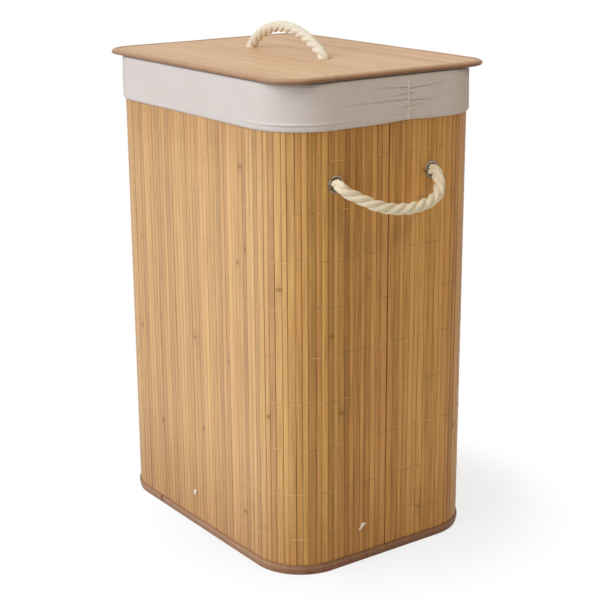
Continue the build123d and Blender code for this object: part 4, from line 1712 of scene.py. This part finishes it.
class Studio:
    """White room: floor, soft lights and the camera."""

    def __init__(self) -> None:
        """Set the view, the world, the floor, the lights and the camera."""
        bpy.context.scene.view_settings.view_transform = "Standard"
        self._camera()
        self._world()
        self._floor()
        # Name, place, target, side in metres, watts and colour
        self._light("key", (0.1, -2.2, 1.75), (0.0, 0.0, 0.30), 2.0, 52.5, (0.84, 0.90, 1.0))
        self._light("fill", (1.5, 0.8, 2.1), (0.1, 0.0, 0.35), 0.6, 8.0, (1.0, 0.86, 0.62))
        self._light("top", (0.1, -0.1, 2.3), (0.0, 0.0, 0.60), 1.6, 5.0, (1.0, 0.95, 0.88))

    def _camera(self) -> None:
        """Camera at the photograph's angle: back looks from the basket to the camera, and the
        picture is turned by the roll about it."""
        azimuth, elevation, roll = np.radians([54.316, 16.435, -0.337])
        focal_pixels, picture_pixels, sensor = 1439.68, 600.0, 36.0
        place = (1.466980, -1.040970, 0.811210)
        level = Vector((math.cos(azimuth), math.sin(azimuth), 0.0))
        ahead = Vector((math.sin(azimuth), -math.cos(azimuth), 0.0))
        back = math.cos(elevation) * ahead + Vector((0.0, 0.0, math.sin(elevation)))
        upright = back.cross(level)
        right = math.cos(roll) * level + math.sin(roll) * upright
        up = math.cos(roll) * upright - math.sin(roll) * level
        data = bpy.data.cameras.new("camera")
        data.sensor_width, data.lens = sensor, focal_pixels / picture_pixels * sensor
        data.clip_start = 0.05
        camera = link("camera", data)
        turn = Matrix((right, up, back)).transposed().to_4x4()
        camera.matrix_world = Matrix.Translation(place) @ turn
        bpy.context.scene.camera = camera

    def _seen(self, graph: Graph) -> Value:
        """1 for rays that show the background: camera, mirror and glass rays.

        Args:
            graph: The graph that asks.

        Returns:
            The sum of the three kinds of ray, up to 1.
        """
        names = ("Is Camera Ray", "Is Glossy Ray", "Is Transmission Ray")
        node = graph.add("LightPath").socket.node
        camera, mirror, glass = (Value(graph, node.outputs[name]) for name in names)
        return graph.add("Math", {0: camera + mirror, 1: glass}, operation="ADD", use_clamp=True)

    def _world(self) -> None:
        """A soft warm light from all round that looks white."""
        world = bpy.data.worlds.new("room")
        graph = Graph(world)
        seen = self._seen(graph)
        soft = graph.add("Background", {"Color": (1.0, 0.905, 0.76, 1.0), "Strength": 0.275})
        white = graph.add("Background", {"Color": WHITE, "Strength": 1.0})
        graph.end(graph.add("MixShader", {0: seen, 1: soft, 2: white}), "OutputWorld")
        bpy.context.scene.world = world

    def _floor(self) -> None:
        """A pale floor, greyer near a point behind and right of the hamper as a painted shadow
        that also keeps the real one, white further off, and clear from below."""
        graph = Graph.named("floor")
        place = graph.place()
        ends = {0: place, 1: (0.06, 0.06, 0.0)}
        away = graph.add("VectorMath", ends, "Value", operation="DISTANCE")
        greys = [(grey, grey, grey, 1.0) for grey in (0.90, 0.93)]
        matt = graph.add("BsdfDiffuse", {"Color": graph.ramp(graph.noise(place, 300.0), *greys)})
        white = graph.add("Emission", {"Color": WHITE, "Strength": 1.0})
        # Painted shadow: more of the matt floor, which is greyer than white, near where the
        # hamper's shadow falls
        factor = self._seen(graph) * (0.77 + 0.23 * away.step(0.17, 0.30))
        above = graph.add("MixShader", {0: factor, 1: matt, 2: white})
        below = graph.add("BsdfTransparent")
        under = graph.add("NewGeometry", output="Backfacing")
        material = graph.end(graph.add("MixShader", {0: under, 1: above, 2: below}))
        x, y = np.meshgrid(*np.linspace((-6.0, -6.0), (6.0, 6.0), 9).T)
        mesh = Surface(np.stack([x, y, np.zeros_like(x)], -1), close_columns=False).mesh("floor")
        mesh.materials.append(material)
        link("floor", mesh)

    def _light(
        self, name: str, place: Point, target: Point, size: float, power: float, colour: Point
    ) -> None:
        """Add a square soft light.

        Args:
            name: The light's name.
            place: Where it stands.
            target: Where it points.
            size: Side of its face.
            power: Power in watts.
            colour: Colour of the light.
        """
        data = bpy.data.lights.new(name, "AREA")
        data.size, data.energy, data.color = size, power, colour
        light = link(name, data)
        light.location = place
        aim = Vector(target) - Vector(place)
        light.rotation_euler = aim.to_track_quat("-Z", "Y").to_euler()


def with_stubs(route: Array, axis: int, depth: float) -> Array:
    """Route with its ends taken straight into the part.

    Args:
        route: Points of the route, (n, 3).
        axis: Axis that the ends go in along.
        depth: Where they end on that axis.

    Returns:
        Points, (n + 2, 3).
    """
    stubs = route[[0, -1]]
    stubs[:, axis] = depth
    return np.concatenate([stubs[:1], route, stubs[1:]])


def side_handle(name: str, side: float) -> RopeHandle:
    """Side handle: the route lies in a plane that hangs out from the wall at an angle.

    Args:
        name: right or left.
        side: 1 for the right face, -1 for the left.

    Returns:
        The handle.
    """
    along, hang = MM * np.array(
        [
            [-71.0, -71.0, -63.5, -50.0, -33.0, -14.0, 8.0, 30.0, 47.5, 60.0, 66.5, 69.5, 71.0],
            [0.0, 5.5, 12.5, 22.5, 33.5, 40.0, 42.8, 41.0, 36.5, 28.5, 18.0, 8.0, 0.0],
        ]
    )
    x = side * (SIDE_HINGE_X + hang * math.sin(SIDE_TILT))
    y = EYELET_PLACES.mean() + side * along
    route = np.stack([x, y, EYELET_HEIGHT - hang * math.cos(SIDE_TILT)], -1)
    start, end = ((side * bend, 0.0, EYELET_HEIGHT) for bend in SIDE_BEND_X)
    return RopeHandle(
        f"{name}_rope",
        WARM_LIT_SIDE_ROPE,
        with_stubs(route, 0, side * SIDE_END_X),
        (-side * math.cos(SIDE_TILT), 0.0, -math.sin(SIDE_TILT)),
        f"{name}_handle_rope",
        (Body.BASKET, Body(f"{name}_handle")),
        (start, end),
    )


def lid_handle() -> RopeHandle:
    """Lid handle: the route is an upright arch over the lid.

    Returns:
        The handle.
    """
    along, rise = MM * np.array(
        [
            [-79.5, -72.5, -63.5, -49.0, -29.0, -6.0, 19.0, 43.0, 60.0, 71.5, 79.5],
            [-7.5, 0.0, 7.5, 15.5, 22.0, 24.5, 22.0, 14.8, 6.0, -0.5, -7.5],
        ]
    )
    x = LID_HOLES.mean() + along
    route = np.stack([x, np.full(len(x), LID_HOLE_Y), LID_HINGE_HEIGHT + rise], -1)
    start, end = ((0.0, 0.0, height) for height in LID_BEND_HEIGHTS)
    return RopeHandle(
        "lid_rope",
        ROPE,
        with_stubs(route, 2, LID_END_HEIGHT),
        (0.0, -1.0, 0.0),
        "lid_handle_rope",
        (Body.LID, Body.LID_HANDLE),
        (start, end),
        lay=38.0 * MM,
    )


def main() -> None:
    """Build the hamper, sub-assembly by sub-assembly."""
    logging.basicConfig(level=logging.INFO, format="%(name)s: %(message)s")
    Studio()
    face = Outline(half_x=200.0 * MM, half_y=150.0 * MM, radius=65.0 * MM)
    lid_edge = Outline(half_x=203.95 * MM, half_y=153.95 * MM, radius=36.0 * MM)
    backing = Outline(half_x=198.4 * MM, half_y=148.4 * MM, radius=63.4 * MM)
    side_handle("right", 1.0).build()
    side_handle("left", -1.0).build()
    lid_handle().build()
    curtain = SlatCurtain(backing)
    curtain.build()
    CurtainTrim(face, backing.at(curtain.layout()[0])).build()
    Eyelets().build()
    for name, x in (("right", SIDE_KNOT_X), ("left", -SIDE_KNOT_X)):
        centres = np.array([(x, y, EYELET_HEIGHT) for y in EYELET_PLACES])
        node = f"{name}_rope_knots"
        StopperKnots(f"{name}_knots", centres, 0, node, Body.BASKET).build()
    Liner(face).build()
    Lid(lid_edge).build()
    centres = np.array([(x, LID_HOLE_Y, LID_KNOT_HEIGHT) for x in LID_HOLES])
    StopperKnots("lid_knots", centres, 2, "lid_rope_knots", Body.LID).build()


if __name__ == "__main__":
    main()
